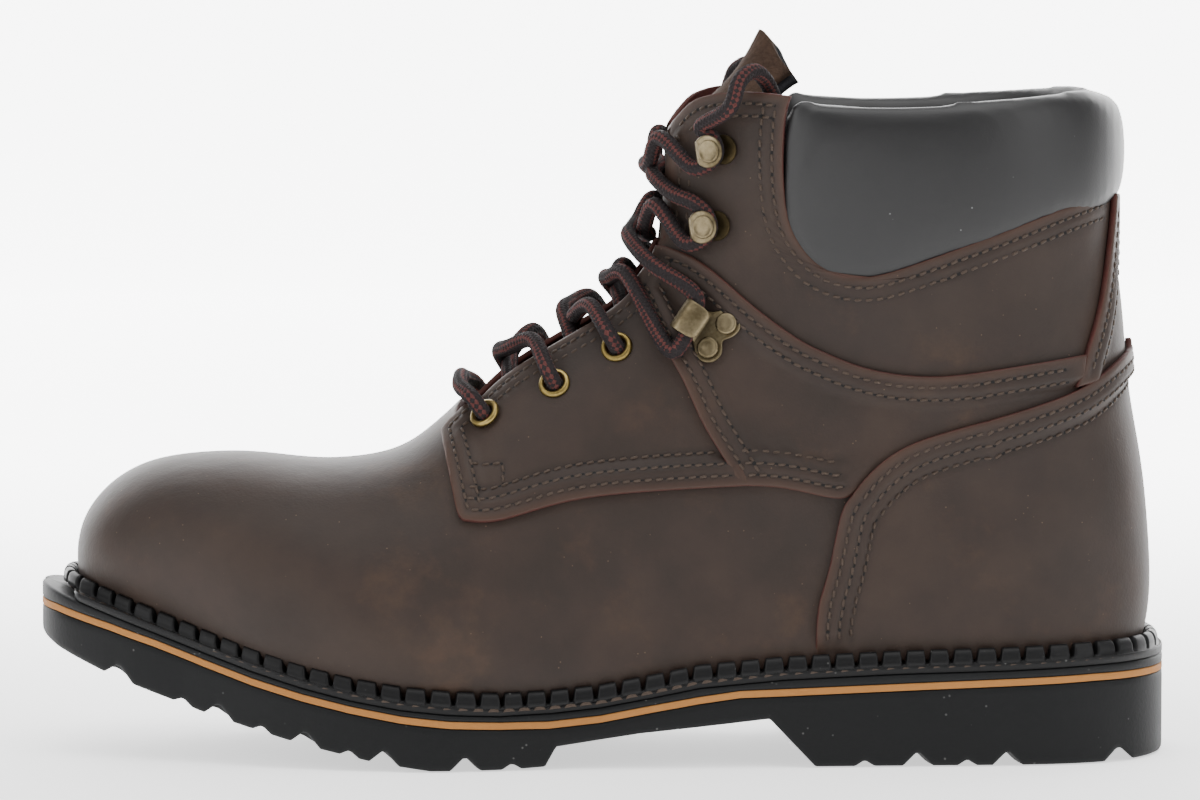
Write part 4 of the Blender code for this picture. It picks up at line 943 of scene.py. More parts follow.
def even_steps(line, normals, pitch):
    """Centres, unit tangents and normals every pitch along a line, centred on its length."""
    length = np.concatenate([[0], np.cumsum(np.linalg.norm(np.diff(line, axis=0), axis=1))])
    count = int(length[-1] / pitch)
    if count < 1:
        return np.zeros((0, 3)), np.zeros((0, 3)), np.zeros((0, 3))
    at = (length[-1] - count * pitch) / 2 + pitch * (np.arange(count) + 0.5)
    centre, ahead, behind, normal = (np.stack([np.interp(at + step, length, values[:, k]) for k in range(3)], -1)
                                     for step, values in ((0, line), (0.8, line), (-0.8, line), (0, normals)))
    tangent = ahead - behind
    tangent /= np.linalg.norm(tangent, axis=1, keepdims=True)
    normal = normal - (normal * tangent).sum(1, keepdims=True) * tangent
    return centre, tangent, normal / np.linalg.norm(normal, axis=1, keepdims=True)


def bridges(centre, tangent, normal, length, radius):
    """Threads: six points round each of five rings; ring centres rise by a parabola, ring sizes shrink at the ends."""
    share = np.array([-1, -0.62, 0, 0.62, 1.0])
    size = np.array([0.25, 0.95, 1.0, 0.95, 0.25]) * radius
    rise = 0.14 - 0.46 * share ** 4
    slant = 0.16 * share
    angle = np.arange(6) * np.pi / 3
    side = np.cross(normal, tangent)
    ring = (centre[:, None, None] + tangent[:, None, None] * (share * length / 2)[None, :, None, None]
            + normal[:, None, None] * (rise[None, :, None] + size[None, :, None] * np.sin(angle))[..., None]
            + side[:, None, None] * (slant[None, :, None] + size[None, :, None] * 1.15 * np.cos(angle))[..., None])
    quads = grid_faces(5, 6, closed=True)
    caps = np.array([(5, 4, 1, 0), (4, 3, 2, 1), (24, 25, 28, 29), (25, 26, 27, 28)])
    one = np.concatenate([quads, caps])
    faces = (one[None] + 30 * np.arange(len(centre))[:, None, None]).reshape(-1, 4)
    return ring.reshape(-1, 3), faces


def holes(centre, tangent, normal, radius):
    """Flat eight-sided caps a little above the leather, carrying the painted shade of the needle holes."""
    angle = np.arange(8) * np.pi / 4
    side = np.cross(normal, tangent)
    rim = (centre[:, None] + normal[:, None] * 0.05
           + radius * (np.cos(angle)[None, :, None] * tangent[:, None] * 0.9
                       + np.sin(angle)[None, :, None] * side[:, None]))
    one = np.array([(0, 1, 2, 3), (0, 3, 4, 7), (7, 4, 5, 6)])
    faces = (one[None] + 8 * np.arange(len(centre))[:, None, None]).reshape(-1, 4)
    return rim.reshape(-1, 3), faces


def sew(name, lines, body, pitch=STITCH_PITCH, length=STITCH_LENGTH, radius=THREAD, slot="oiled_leather"):
    """One mesh of every stitch and needle hole along the lines."""
    points, faces, slots, start = [], [], [], 0
    for line, normals in lines:
        if len(line) < 3:
            continue
        centre, tangent, normal = even_steps(line, normals, pitch)
        hole_at = centre + tangent * pitch / 2
        for part, quads, slot_number in ((*bridges(centre, tangent, normal, length, radius), 0),
                                         (*holes(hole_at, tangent, normal, radius * 1.5), 1)):
            points.append(part)
            faces.append(quads + start)
            slots.append(np.full(len(quads), slot_number))
            start += len(part)
    piece = build(name, np.concatenate(points), np.concatenate(faces), [THREAD_FINISH, HOLE_SHADE_FINISH],
                  slots=np.concatenate(slots), weld=False)
    return belongs(piece, body, slot)


def thread_lines(rows, borders, lift):
    """The rows as 3D lines on the panel's outer face, with their normals."""
    lines = []
    for places in rows:
        spots = last_point(places[:, 0], places[:, 1])
        away = distances_to(borders, spots[:, None])
        tall = lift(away, spots[:, None])[:, 0]
        lines.append((skin(places, LEATHER_AT + THICK + wander(spots) + tall - SINK),
                      last_normal(places[:, 0], places[:, 1])))
    return lines


print("sewing tools ready")

# %% [markdown]
# The seams of this boot, in side view. The vamp is the low front piece and runs under everything. The
# front quarter carries the eyelets, the mid quarter laps over it, the shaft panel goes up to the
# collar, and the back stay and the heel foxing close the back. Lines through a few points are made
# smooth by the same natural spline as the last.

# %% Seam lines
WELT_TOP = np.array([
    (-158, 49.6), (-150, 47), (-135, 42), (-122, 37.5), (-108, 32.5), (-95, 28.2), (-81, 24.2), (-68, 21.2),
    (-54, 18.8), (-41, 17.5), (-27, 16.8), (-13, 17.4), (0, 18.8), (14, 21.4), (27, 24), (50, 26),
    (81, 27.3), (110, 28), (135, 29), (156, 29.5)], float)
FACING_HALF_GAP = 17.0
FOXING_TOP = [(68, 73), (73, 79), (82, 86), (95, 91), (109, 95), (126, 100.5), (136, 106), (143, 111), (147, 113)]
FOXING_FRONT = [(58.5, 27.6), (59, 42), (62, 53), (65, 67), (68, 73)]
SHAFT_SEAM = [(16.5, 141), (20, 139.5), (27, 137), (35, 131), (43, 124), (54, 116), (62, 112), (73, 108),
              (90, 106), (109, 108), (126, 110)]
CUT_OUT = [(52, 182), (50.5, 176), (50, 165), (50.5, 155), (52, 147), (56, 140), (62, 135), (71, 133),
           (81, 135), (95, 140), (109, 145), (125, 151), (137, 154.5)]
MID_FRONT = [(12.3, 127.5), (15.6, 117), (22.6, 104), (27.6, 93), (33.6, 83), (37.7, 75.8)]
COLLAR_TOP = [(50.7, 181.8), (58, 180.4), (68, 179.5), (82, 179.5), (95, 180.2), (109, 181.3), (122, 182.3),
              (133, 183.2), (139, 182)]


def welt_top(x):
    return np.interp(x, WELT_TOP[:, 0], WELT_TOP[:, 1])


def shifted(points, dx, dz):
    return [(x + dx, z + dz) for x, z in points]


def feather_places(start, end, above, count=120):
    """Places along the welt's top, raised by above."""
    xs = np.linspace(start, end, count)
    return seen(np.stack([xs, welt_top(xs) + above], -1))


def toe_start(above):
    """The place on the ridge at the very front of the toe."""
    stations = np.linspace(0.6, 3, 400)
    heights = last_point(stations, np.zeros(400))[:, 2]
    return np.array([np.interp(45.6 + above, heights, stations), 0.0])


def toe_low(end, above, count=140):
    share = np.linspace(0, 1, count)[1:] ** 1.6
    xs = -142.0 + (end + 142.0) * share
    return np.concatenate([[toe_start(above)], seen(np.stack([xs, welt_top(xs) + above], -1))])


def ridge_places(start_station, end_station, count=120):
    return np.stack([np.linspace(start_station, end_station, count), np.zeros(count)], -1)


def back_places(low_z, high_z, count=60):
    """Places down the back line between two heights."""
    stations = np.linspace(14.8, 23, 600)
    heights = last_point(stations, np.full(600, -math.pi))[:, 2]
    wanted = np.linspace(low_z, high_z, count)
    return np.stack([np.interp(wanted, heights, stations), np.full(count, -math.pi)], -1)


def fold_out(grid, axis, places=False):
    """A lateral half and its mirror as one grid, across its last line; angles change sign."""
    mirror = other_side(grid) if places else grid
    if axis == 0:
        return np.concatenate([grid, mirror[-2::-1]], axis=0)
    return np.concatenate([grid, mirror[:, -2::-1]], axis=1)


print("seams drawn")

# %% [markdown]
# The vamp is one piece of leather stretched over the steel toe cap. Its grid starts as a fan at the
# front of the toe, runs back along the welt and the ridge, and ends under the quarters.

# %% Vamp
def make_vamp():
    rear = [(60.5, welt_top(60.5) + 0.6), (61.5, 42), (63, 46.5), (66, 50), (68, 56), (71, 70), (71, 77), (51, 78.2),
            (37, 79), (11, 77.2), (-11, 75), (-26, 70), (-33, 71), (-35, 79), (-36.5, 87)]
    ridge_end = 11.15
    end = np.concatenate([line_seen(rear), at_width([11.0], 10.0), [[ridge_end, 0]]])
    front = toe_start(0.6)
    places = coons(toe_low(60.5, 0.6), ridge_places(front[0], ridge_end), np.repeat(front[None], 4, 0), end,
                   {}, 170, 70)
    away = distances_to(borders_of(places), last_point(places[..., 0], places[..., 1]))
    away = {side: fold_out(grid, 1) for side, grid in away.items()}
    piece = shell("vamp_leather", fold_out(places, 1, True), away, free=("low", "end"))
    belongs(piece, "boot", "oiled_leather", "vamp")


make_vamp()

# %% [markdown]
# The quarters come in pairs. Each function draws the borders once, in side view, and makes both sides.
# A row list says how far from which border the thread runs: two rows on most edges, three along the
# low edge that holds the quarter to the vamp.

# %% Quarters
TWO_ROWS, THREE_ROWS = (3.0, 6.4), (3.0, 6.2, 9.6)


def mirrored(row, line):
    """A thread line moved to the medial side: the same offset from the last, on the other side's places."""
    offset = ((line - last_point(row[:, 0], row[:, 1])) * last_normal(row[:, 0], row[:, 1])).sum(-1)
    places = other_side(row)
    return skin(places, offset), last_normal(places[:, 0], places[:, 1])


def on_both_sides(name, lines, counts, lift, rows, nodes, keep=None, ties=()):
    """The same panel and its thread on both sides; lines are its low, high, start and end borders."""
    places = coons(*lines, rows, *counts)
    borders = borders_of(places)
    spots = last_point(places[..., 0], places[..., 1])
    away = distances_to(borders, spots)
    sides = dict(zip(("low", "high", "start", "end"), lines))
    sewn = row_places(sides, rows, borders, places, keep) + list(ties)
    for word in ("lateral", "medial"):
        turned = other_side if word == "medial" else np.copy
        used = [turned(row) for row in sewn]
        piece = shell(f"{name}_leather_{word}", turned(places), away, lift(away, spots), used)
        belongs(piece, "boot", "oiled_leather", f"{nodes}_{word}")
        flat = thread_lines(sewn, borders, lift)
        if word == "medial":
            flat = [mirrored(row, line) for row, (line, _) in zip(sewn, flat)]
        sew(f"{name}_stitches_{word}", flat, "boot")


CORNER_TIE = ([(-34.6, 80.2), (-26.2, 81.4)], [(-26.2, 81.4), (-26.2, 76.0)])


def make_front_quarters():
    front = np.concatenate([at_width([10.85], FACING_HALF_GAP),
                            line_seen(rounded([(-41.6, 88), (-41, 84), (-39.5, 73), (-38.4, 67.4), (-37, 65.8)]))[6:]])
    low = line_seen(rounded([(-37, 65.8), (-27, 66.2), (-11, 71), (11, 74), (41, 75.9)]))
    rear = np.concatenate([at_width([seen([(14.8, 128)])[0, 0]], FACING_HALF_GAP),
                           line_seen(rounded(shifted(MID_FRONT, 3.6, 0.2))[6:])])
    top = at_width(np.linspace(10.85, rear[0, 0], 60), FACING_HALF_GAP)
    rows = {"low": THREE_ROWS, "start": TWO_ROWS, "high": TWO_ROWS}
    front_line = np.array(rounded(MID_FRONT))

    def clear_of_mid(spots, side):
        return spots[..., 0] < np.interp(spots[..., 2], front_line[::-1, 1], front_line[::-1, 0]) + 0.5

    on_both_sides("quarter_front", (low, top, front[::-1], rear[::-1]), (46, 22),
                  lambda away, spots: lift_near(away, {"low": 2.05, "start": 2.05}), rows, "quarter_front",
                  clear_of_mid, [line_seen(tie, 0.5) for tie in CORNER_TIE])


make_front_quarters()


def make_mid_quarters():
    top_station = seen([(16, 141)])[0, 0]
    low_station = seen([(11.2, 128)])[0, 0]
    front = np.concatenate([at_width(np.linspace(top_station, low_station, 20), FACING_HALF_GAP),
                            line_seen(rounded(MID_FRONT)[4:])])
    low = np.concatenate([line_seen(rounded([(37.7, 75.8), (51, 75), (64, 72.5), (69.8, 74.6)], 30)),
                          line_seen(rounded([(72, 75.5), (76, 78.5), (84, 84.4), (95, 88.6), (109, 92.6), (129, 98.5)]))])
    rear = line_seen([(129, 98.5), (129.8, 104), (130.4, 111)])
    top = np.concatenate([front[:1], line_seen(rounded(SHAFT_SEAM[1:-1] + [(130.4, 111)]))])
    rows = {"low": THREE_ROWS, "start": TWO_ROWS, "high": TWO_ROWS}

    def lift(away, spots):
        over_vamp = np.clip((76 - spots[..., 0]) / 8, 0, 1)
        return np.maximum(lift_near(away, {"high": 2.05, "start": 2.05 * np.clip((44 - spots[..., 0]) / 6, 0, 1)}),
                          lift_near(away, {"low": 2.05 * over_vamp}))

    def clear_of_foxing(spots, side):
        line = np.array(FOXING_TOP)
        if side == "low":
            return spots[..., 0] < 67
        above = spots[..., 2] > np.interp(spots[..., 0], line[:, 0], line[:, 1]) + 1.5
        return above & (spots[..., 0] < 126)

    on_both_sides("quarter_mid", (low, top, front[::-1], rear), (62, 16), lift, rows, "quarter_mid",
                  clear_of_foxing)


make_mid_quarters()

# %% [markdown]
# The shaft panel wraps the ankle. It carries the two upper hooks, is cut out for the collar, and tucks
# under the mid quarter below and under the back stay behind.

# %% Shaft panels
THROAT_TOP = (19.3, 168)


def make_shaft_panels():
    corner = seen([(17, 137)])[0, 0]
    top_station = seen([THROAT_TOP])[0, 0]
    outer = np.concatenate([at_width(np.linspace(top_station, corner, 40), FACING_HALF_GAP),
                            line_seen(rounded(shifted(SHAFT_SEAM[2:-1], -0.8, -4.5) + [(130, 104)]))])
    inner = line_seen(rounded(CUT_OUT + [(140.2, 155.2)], 96))
    start = np.concatenate([outer[:1], line_seen(rounded([(20.4, 173), (25, 179), (31, 182), (41, 183), (52, 182)], 40))])
    end = line_seen([(130, 104), (136.8, 126), (139.6, 142), (140.2, 155.2)])
    rows = {"low": TWO_ROWS, "start": TWO_ROWS, "high": TWO_ROWS}

    def clear(spots, side):
        x, z = spots[..., 0], spots[..., 2]
        seam = np.array(SHAFT_SEAM)
        stay = np.interp(z, (102, 126, 142, 154), (127.8, 134, 137, 137.8))
        return (z > np.interp(x, seam[:, 0], seam[:, 1]) + 4.5) & (x < stay - 1)

    on_both_sides("shaft", (outer, inner, start, end), (96, 12), lambda away, spots: lift_near(away, {}), rows,
                  "shaft_panel", clear)


make_shaft_panels()

# %% [markdown]
# The back stay covers the seam up the heel, and the heel foxing wraps the whole heel below it. Each is
# drawn as its lateral half and folded out across the back line.

# %% Back stay and heel foxing
def folded(name, lines, counts, lift, rows, node, keep=None):
    """A piece with both halves in one grid, joined at its end side; rows cross the back line unbroken."""
    places = coons(*lines, rows, *counts)
    borders = borders_of(places)
    borders.pop("end")
    spots = last_point(places[..., 0], places[..., 1])
    away = distances_to(borders, spots)
    sides = dict(zip(("low", "high", "start", "end"), lines))
    sewn = row_places(sides, rows, borders, places, keep)
    threads = []
    for row, (line, normal) in zip(sewn, thread_lines(sewn, borders, lift)):
        other, other_normal = mirrored(row, line)
        if abs(row[-1, 1]) > math.pi - 0.12:
            threads.append((np.concatenate([line, other[-2::-1]]), np.concatenate([normal, other_normal[-2::-1]])))
        else:
            threads += [(line, normal), (other, other_normal)]
    high = fold_out(lift(away, spots), 0)
    away = {side: fold_out(grid, 0) for side, grid in away.items()}
    both = sewn + [other_side(row) for row in sewn]
    piece = shell(name + "_leather", fold_out(places, 0, True), away, high, both, free=("low", "high", "start"))
    belongs(piece, "boot", "oiled_leather", node)
    sew(name + "_stitches", threads, "boot")


def make_back_stay():
    front = line_seen(rounded([(127.8, 102.2), (131.5, 114), (134.6, 126), (137, 142), (137.8, 154.0)]))
    low = np.concatenate([line_seen([(127.8, 102.2), (136, 104), (142, 107)]), back_places(109, 109, 1)])
    top = np.concatenate([seen([(137.8, 154.0)]), back_places(153.8, 153.8, 1)])
    rows = {"start": TWO_ROWS}
    line = np.array(FOXING_TOP)

    def clear(spots, side):
        return spots[..., 2] > np.interp(spots[..., 0], line[:, 0], line[:, 1]) + 1

    folded("back_stay", (low, top, front, back_places(109, 153.8)), (10, 30),
           lambda away, spots: lift_near(away, {"start": 2.05}), rows, "back_stay", clear)


def make_foxing():
    top = np.concatenate([line_seen(rounded(FOXING_TOP[:-1], 90)), back_places(113.4, 113.4, 1)])
    low = np.concatenate([feather_places(58.5, 147, 0.6), back_places(30.0, 30.0, 1)])
    front = line_seen(rounded([(58.5, welt_top(58.5) + 0.6)] + FOXING_FRONT[1:], 50))
    rows = {"high": THREE_ROWS, "start": THREE_ROWS}

    def lift(away, spots):
        x, z = spots[..., 0], spots[..., 2]
        corner = np.exp(-(((x - 68) / 9) ** 2 + ((z - 73) / 9) ** 2))
        edges = lift_near(away, {"high": 2.1 + 1.1 * corner, "start": 2.1 + 1.1 * corner})
        return edges * np.clip((z - 31) / 5, 0, 1)

    folded("heel_foxing", (low, top, front, back_places(30.0, 113.4)), (50, 40), lift, rows, "heel_foxing",
           lambda spots, side: spots[..., 2] > 33)


make_back_stay()
make_foxing()

# %% [markdown]
# Now the sole unit, from the ground up: a black rubber outsole with cut lugs, a thin tan line, a black
# midsole, and the welt. All of them follow the outline of the leather just above the welt, pushed out
# by a margin, so they are worked out from the same last.

# %% Outlines of the sole
TAN_MIDDLE = np.array([
    (-156, 41), (-150, 40.3), (-135, 36.5), (-122, 32.5), (-108, 27.5), (-95, 23.2), (-81, 19.4),
    (-68, 16.5), (-54, 14), (-41, 12.6), (-27, 12), (-14, 12), (0, 13.5), (14, 16.2), (27, 18.5),
    (38, 20), (54, 20.5), (81, 21.5), (108, 22.5), (135, 23.5), (156, 23.5)], float)
SOLE_BOTTOM = np.array([
    (-156.5, 33), (-150, 29.5), (-133, 22.6), (-107, 13.6), (-81, 6.6), (-60, 2), (-46, 0),
    (-24, 0), (-15, 0.6), (-12, 6), (11, 9.5), (35, 12), (46, 13.2), (58.5, 0), (157, 0)], float)
TREAD_DEEP = (-132, -104, -80, -58.5, -36.5, 86.5, 111, 142)
TREAD_SHALLOW = (-114, -92, -68, -24, 72, 100)
SOLE_MARGIN = np.array([(-143, 12), (-120, 10), (-85, 9.8), (-40, 8.5), (0, 6), (60, 6), (150, 6.5)], float)
HALF_COUNT = 420


def height(table, x):
    return np.interp(x, table[:, 0], table[:, 1])


def feather_line(margin, above=0.0, count=HALF_COUNT):
    """Plan outlines of the leather above the welt, lateral and medial: each point moved out by margin(x)
    along the normal of the outline, which is its direction turned by a right angle."""
    front, back = toe_start(above), back_places(29.3 + above, 29.3 + above, 1)[0]
    tip = last_point(front[0], 0.0)[0] + 0.25
    end = last_point(back[0], -math.pi)[0] - 0.25
    x = tip + (end - tip) * (1 - np.cos(math.pi * np.linspace(0, 1, count))) / 2
    places = np.concatenate([[front], seen(np.stack([x, welt_top(x) + above], -1))[1:-1], [back]])
    outlines = []
    for side in (1, -1):
        spots = skin(places * np.array([1, side]), np.full(len(places), LEATHER_AT + THICK))[:, :2]
        run = np.gradient(spots, axis=0)
        run[0], run[-1] = (0, -side), (0, side)
        run /= np.linalg.norm(run, axis=1, keepdims=True)
        out = np.stack([run[:, 1], -run[:, 0]], -1) * side
        outlines.append(spots + out * margin(spots[:, 0])[:, None])
    return outlines


def even_loop(pair, count):
    """The outline as one closed loop, lateral side first, with its points spaced evenly."""
    loop = np.concatenate([pair[0], pair[1][-2::-1]])
    length = np.concatenate([[0], np.cumsum(np.linalg.norm(np.diff(loop, axis=0), axis=1))])
    wanted = np.linspace(0, length[-1], count, endpoint=False)
    return np.stack([np.interp(wanted, length, loop[:, k]) for k in (0, 1)], -1), length[-1]


def softened(line, rounds):
    """A closed loop averaged with its neighbours, a quarter each side, so small kinks go."""
    for _ in range(rounds):
        line = line / 2 + (np.roll(line, 1, axis=0) + np.roll(line, -1, axis=0)) / 4
    return line


def sole_margin(x):
    return height(SOLE_MARGIN, x)


SOLE_PAIR = feather_line(sole_margin)
SOLE_LOOP, SOLE_AROUND = even_loop(SOLE_PAIR, 1400)
SOLE_LOOP = softened(SOLE_LOOP, 40)
print(f"sole outline: {SOLE_AROUND:.0f} mm round")

# %% [markdown]
# Each layer is a wall round the outline and two caps. A cap is the same loop drawn towards a spine down
# the middle, ring by ring, so its surface can carry lugs and grooves. Where the last ring reaches the
# spine, the two sides meet and are welded.

# %% Layers of the sole
def spine_of(loop):
    """Middle line under each loop point: x kept 45 mm from the ends, y halfway between the sides there."""
    lateral = loop[:, 1] < np.interp(loop[:, 0], (-156, 156), (6, 0))
    x = np.clip(loop[:, 0], loop[:, 0].min() + 45, loop[:, 0].max() - 40)
    sides = []
    for pick in (lateral, ~lateral):
        order = np.argsort(loop[pick, 0])
        sides.append(np.interp(x, loop[pick, 0][order], loop[pick, 1][order]))
    return np.stack([x, (sides[0] + sides[1]) / 2], -1)


def layer(name, loop, wall, low, high, rings, finish, weld=True):
    """Loop pushed out along its normals by each wall row's margin; caps run from the wall to the spine."""
    run = np.roll(loop, -1, axis=0) - np.roll(loop, 1, axis=0)
    run /= np.linalg.norm(run, axis=1, keepdims=True)
    out = np.stack([run[:, 1], -run[:, 0]], -1)
    centre = loop.mean(axis=0)
    out *= np.sign(((loop - centre) * out).sum())
    spine = spine_of(loop)
    rows = []
    edge = loop + out * wall[0][0]
    for share in np.linspace(0, 1, rings)[:-1] ** 0.7:
        flat = spine + (edge - spine) * share
        rows.append(np.column_stack([flat, low(flat, share)]))
    for margin, rise, at_top in wall:
        flat = loop + out * margin
        rows.append(np.column_stack([flat, (high if at_top else low)(flat, 1.0) + rise]))
    edge = loop + out * wall[-1][0]
    for share in np.linspace(1, 0, 8)[1:]:
        flat = spine + (edge - spine) * share
        rows.append(np.column_stack([flat, high(flat, 1.0)]))
    points = np.stack(rows)
    return build(name, points, grid_faces(len(rows), len(loop), closed=True), [finish], weld=weld)


def tread(flat, share):
    """Underside: side-view height, plus V grooves whose depth is a clipped triangle of the distance, deeper
    at the edge, plus a zigzag groove down the middle of the forefoot and the heel."""
    x, y = flat[:, 0], flat[:, 1]
    slant = 0.22 * np.abs(y)
    depth = np.zeros_like(x)
    for centres, size, reach in ((TREAD_DEEP, 3.4, 3.4), (TREAD_SHALLOW, 1.4, 2.2)):
        for centre in centres:
            moved = x - centre + slant * (0.0 if share >= 0.999 else 1 - share)
            depth = np.maximum(depth, size * np.clip(1.2 - np.abs(moved) / reach, 0, 1))
    zigzag = np.abs(np.abs((x / 9.0) % 2 - 1) * 9 - 4.5 - (y - 1))
    depth = np.maximum(depth, 1.8 * np.clip(1.3 - zigzag / 2.4, 0, 1) * (share < 0.6))
    bottom = height(SOLE_BOTTOM, x)
    level = np.clip(1 - bottom / 4, 0, 1)
    return bottom + depth * np.where(share >= 0.8, 1, 0.35 + 0.65 * level)


def make_rubber(name, dark, pale, roughness, scale=900.0, strength=0.2, shine=0.2):
    rubber = Finish(name, Specular_IOR_Level=shine)
    cloud = rubber.noise(30.0, 4.0)
    fine = rubber.noise(scale, 3.0)
    dust = (1 - rubber.cells(310.0).above(0.09, 0.04)) * rubber.noise(120.0, 1.0).above(0.58, 0.04)
    rubber.feed("Base Color", rubber.blend(dust * 0.35, rubber.blend(cloud * 0.6 + fine * 0.4, dark, pale),
                                           linear(120, 120, 118)))
    rubber.feed("Roughness", roughness + cloud * 0.12)
    rubber.feed("Normal", rubber.bump(fine, strength, 0.0004))
    return rubber


OUTSOLE_RUBBER = make_rubber("outsole_rubber", linear(7, 8, 9), linear(15, 16, 17), 0.55)
MIDSOLE_RUBBER = make_rubber("midsole_rubber", linear(10, 11, 12), linear(20, 21, 22), 0.5)
TAN_RUBBER = make_rubber("tan_rubber", linear(140, 92, 46), linear(164, 114, 62), 0.7, 700.0, 0.3)


def make_sole():
    def under_tan(flat, share):
        return height(TAN_MIDDLE, flat[:, 0]) - 1.02

    wall = [(-1.1, 0.0, False), (-0.45, 0.3, False), (-0.1, 0.9, False), (0.0, 1.9, False), (0.0, -2.0, True),
            (-0.05, -0.5, True), (-0.35, -0.1, True), (-0.8, 0.0, True)]
    piece = layer("outsole_lugs", SOLE_LOOP, wall, tread, under_tan, 30, OUTSOLE_RUBBER)
    belongs(piece, "boot", "black_rubber", "outsole")
    thin = [(-0.6, 0.0, False), (-0.08, 0.1, False), (0.0, 0.35, False), (0.0, -0.35, True), (-0.08, -0.1, True),
            (-0.6, 0.0, True)]
    tan = layer("tan_line", SOLE_LOOP, thin, lambda flat, share: height(TAN_MIDDLE, flat[:, 0]) - 1.0,
                lambda flat, share: height(TAN_MIDDLE, flat[:, 0]) + 1.0, 3, TAN_RUBBER)
    belongs(tan, "boot", "tan_rubber", "midsole_tan")
    wall = [(-0.7, 0.0, False), (-0.15, 0.15, False), (0.0, 0.6, False), (0.0, -1.0, True), (-0.2, -0.4, True),
            (-0.7, -0.1, True), (-1.2, 0.0, True)]
    black = layer("midsole_wall", SOLE_LOOP, wall, lambda flat, share: height(TAN_MIDDLE, flat[:, 0]) + 1.02,
                  lambda flat, share: welt_top(flat[:, 0]) - 2.05, 3, MIDSOLE_RUBBER)
    belongs(black, "boot", "black_rubber", "midsole_black")


make_sole()

# %% [markdown]
# The welt is a strip all round. Its outer half is flat, with a groove that hides a row of lockstitches.
# Its inner half stands up against the leather as a bead cut into rounded blocks. One profile is swept
# round the outline; the blocks come from shrinking the bead's part of the profile at even distances.

# %% Storm welt
BLOCK = 6.5


def block_size(along, count, around):
    """1 on a block and 0.12 in a gap: a clipped cosine of the distance along the bead."""
    wave = np.cos(2 * math.pi * along * count / around)
    return 0.12 + 0.88 * np.clip((0.90 - wave) / 0.28, 0, 1) ** 0.6


def make_welt():
    count = 2400
    base, around = even_loop(feather_line(lambda x: np.full_like(x, 0.3), 2.0), count)
    base = softened(base, 60)
    run = np.roll(base, -1, axis=0) - np.roll(base, 1, axis=0)
    out = np.stack([run[:, 1], -run[:, 0]], -1) / np.linalg.norm(run, axis=1, keepdims=True)
    out *= np.sign(((base - base.mean(axis=0)) * out).sum())
    inner, crest, bead = base, base + out * 0.2, base + out * 4.7
    outer = np.concatenate([SOLE_LOOP[np.linalg.norm(SOLE_LOOP - part[:, None], axis=-1).argmin(axis=1)]
                            for part in np.array_split(base, 8)])
    outer = softened(outer, 40)
    along = np.arange(count) * around / count
    size = block_size(along, round(around / BLOCK), around)
    rows = []

    def row(first, second, share, rise):
        flat = first + (second - first) * share
        rows.append(np.column_stack([flat, welt_top(flat[:, 0]) + rise]))

    row(inner, outer, 0.0, -2.0)
    row(inner, outer, 1.0, -2.0)
    for share, rise in ((1.0, -0.5), (0.97, -0.12), (0.92, 0.0), (0.60, 0.0)):
        row(bead, outer, share, rise)
    for share, rise in ((0.52, -0.1), (0.46, -0.6), (0.38, -0.75), (0.30, -0.6), (0.24, -0.1), (0.14, 0.0)):
        row(bead, outer, share, rise)
    for angle in np.linspace(0, math.pi, 13):
        across = 0.5 + 0.5 * np.cos(angle) ** 1.0
        rise = np.sin(angle) ** 0.75 * 4.0 * size + 0.02
        flat = crest + (bead - crest) * (0.04 + 0.92 * across) * (0.9 + 0.1 * size)[:, None]
        rows.append(np.column_stack([flat, welt_top(flat[:, 0]) + rise]))
    points = np.stack(rows + rows[:1])
    finish = make_rubber("welt_rubber", linear(6, 6, 7), linear(12, 12, 13), 0.42, 700.0, 0.12, 0.22)
    piece = build("storm_welt", points, grid_faces(len(points), count, closed=True), [finish])
    belongs(piece, "boot", "black_rubber", "welt")
    middle = bead + (outer - bead) * 0.38
    path = np.column_stack([middle, welt_top(middle[:, 0]) - 0.62])
    path = np.concatenate([path, path[:1]])
    up = np.tile((0.0, 0.0, 1.0), (len(path), 1))
    sew("welt_stitches", [(path, up)], "boot", 4.2, 3.3, 0.5, "black_rubber")


make_welt()

# %% [markdown]
# The collar is smooth leather sewn round foam. We start from a closed form a little smaller than the
# real one: its section goes up the outside, over the top and down the inside. Then cloth, blown up from
# within while its sewn edge is held, gives the soft swelling and small pulls of a real padded collar.

# %% Collar finish
def make_collar_finish():
    collar = Finish("collar_leather", roughness=0.4, Specular_IOR_Level=0.45)
    cloud = collar.noise(26.0, 3.0)
    colour = collar.blend(cloud, linear(11, 11, 12), linear(18, 17, 18))
    pebble = collar.cells(1500.0)
    fine = collar.noise(2400.0, 2.0)
    specks = (1 - collar.cells(260.0).above(0.06, 0.02)) * collar.noise(90.0, 1.0).above(0.62, 0.03)
    collar.feed("Base Color", collar.blend(specks * 0.5, colour, linear(130, 130, 132)))
    collar.feed("Roughness", 0.36 + cloud * 0.1 + fine * 0.06)
    small = collar.bump(pebble * 0.6 + fine * 0.4, 0.10, 0.0002)
    collar.feed("Normal", collar.bump(collar.noise(70.0, 2.0), 0.08, 0.0015, small))
    return collar


COLLAR_FINISH = make_collar_finish()
print("collar finish ready")

# %% Collar
COVER_PATH = ((-0.14, -0.75), (-0.10, 0.3), (-0.045, 1.6), (0.0, 2.6), (0.12, 3.2), (0.32, 3.6), (0.55, 3.6),
              (0.72, 3.3), (0.86, 2.6), (0.95, 1.2), (0.99, -0.8), (1.0, -2.6), (0.98, -4.6), (0.93, -6.2),
              (0.82, -7.6), (0.66, -8.5), (0.5, -8.6), (0.36, -8.2), (0.22, -7.2), (0.10, -5.8), (0.0, -4.4),
              (-0.06, -3.2), (-0.10, -2.2))


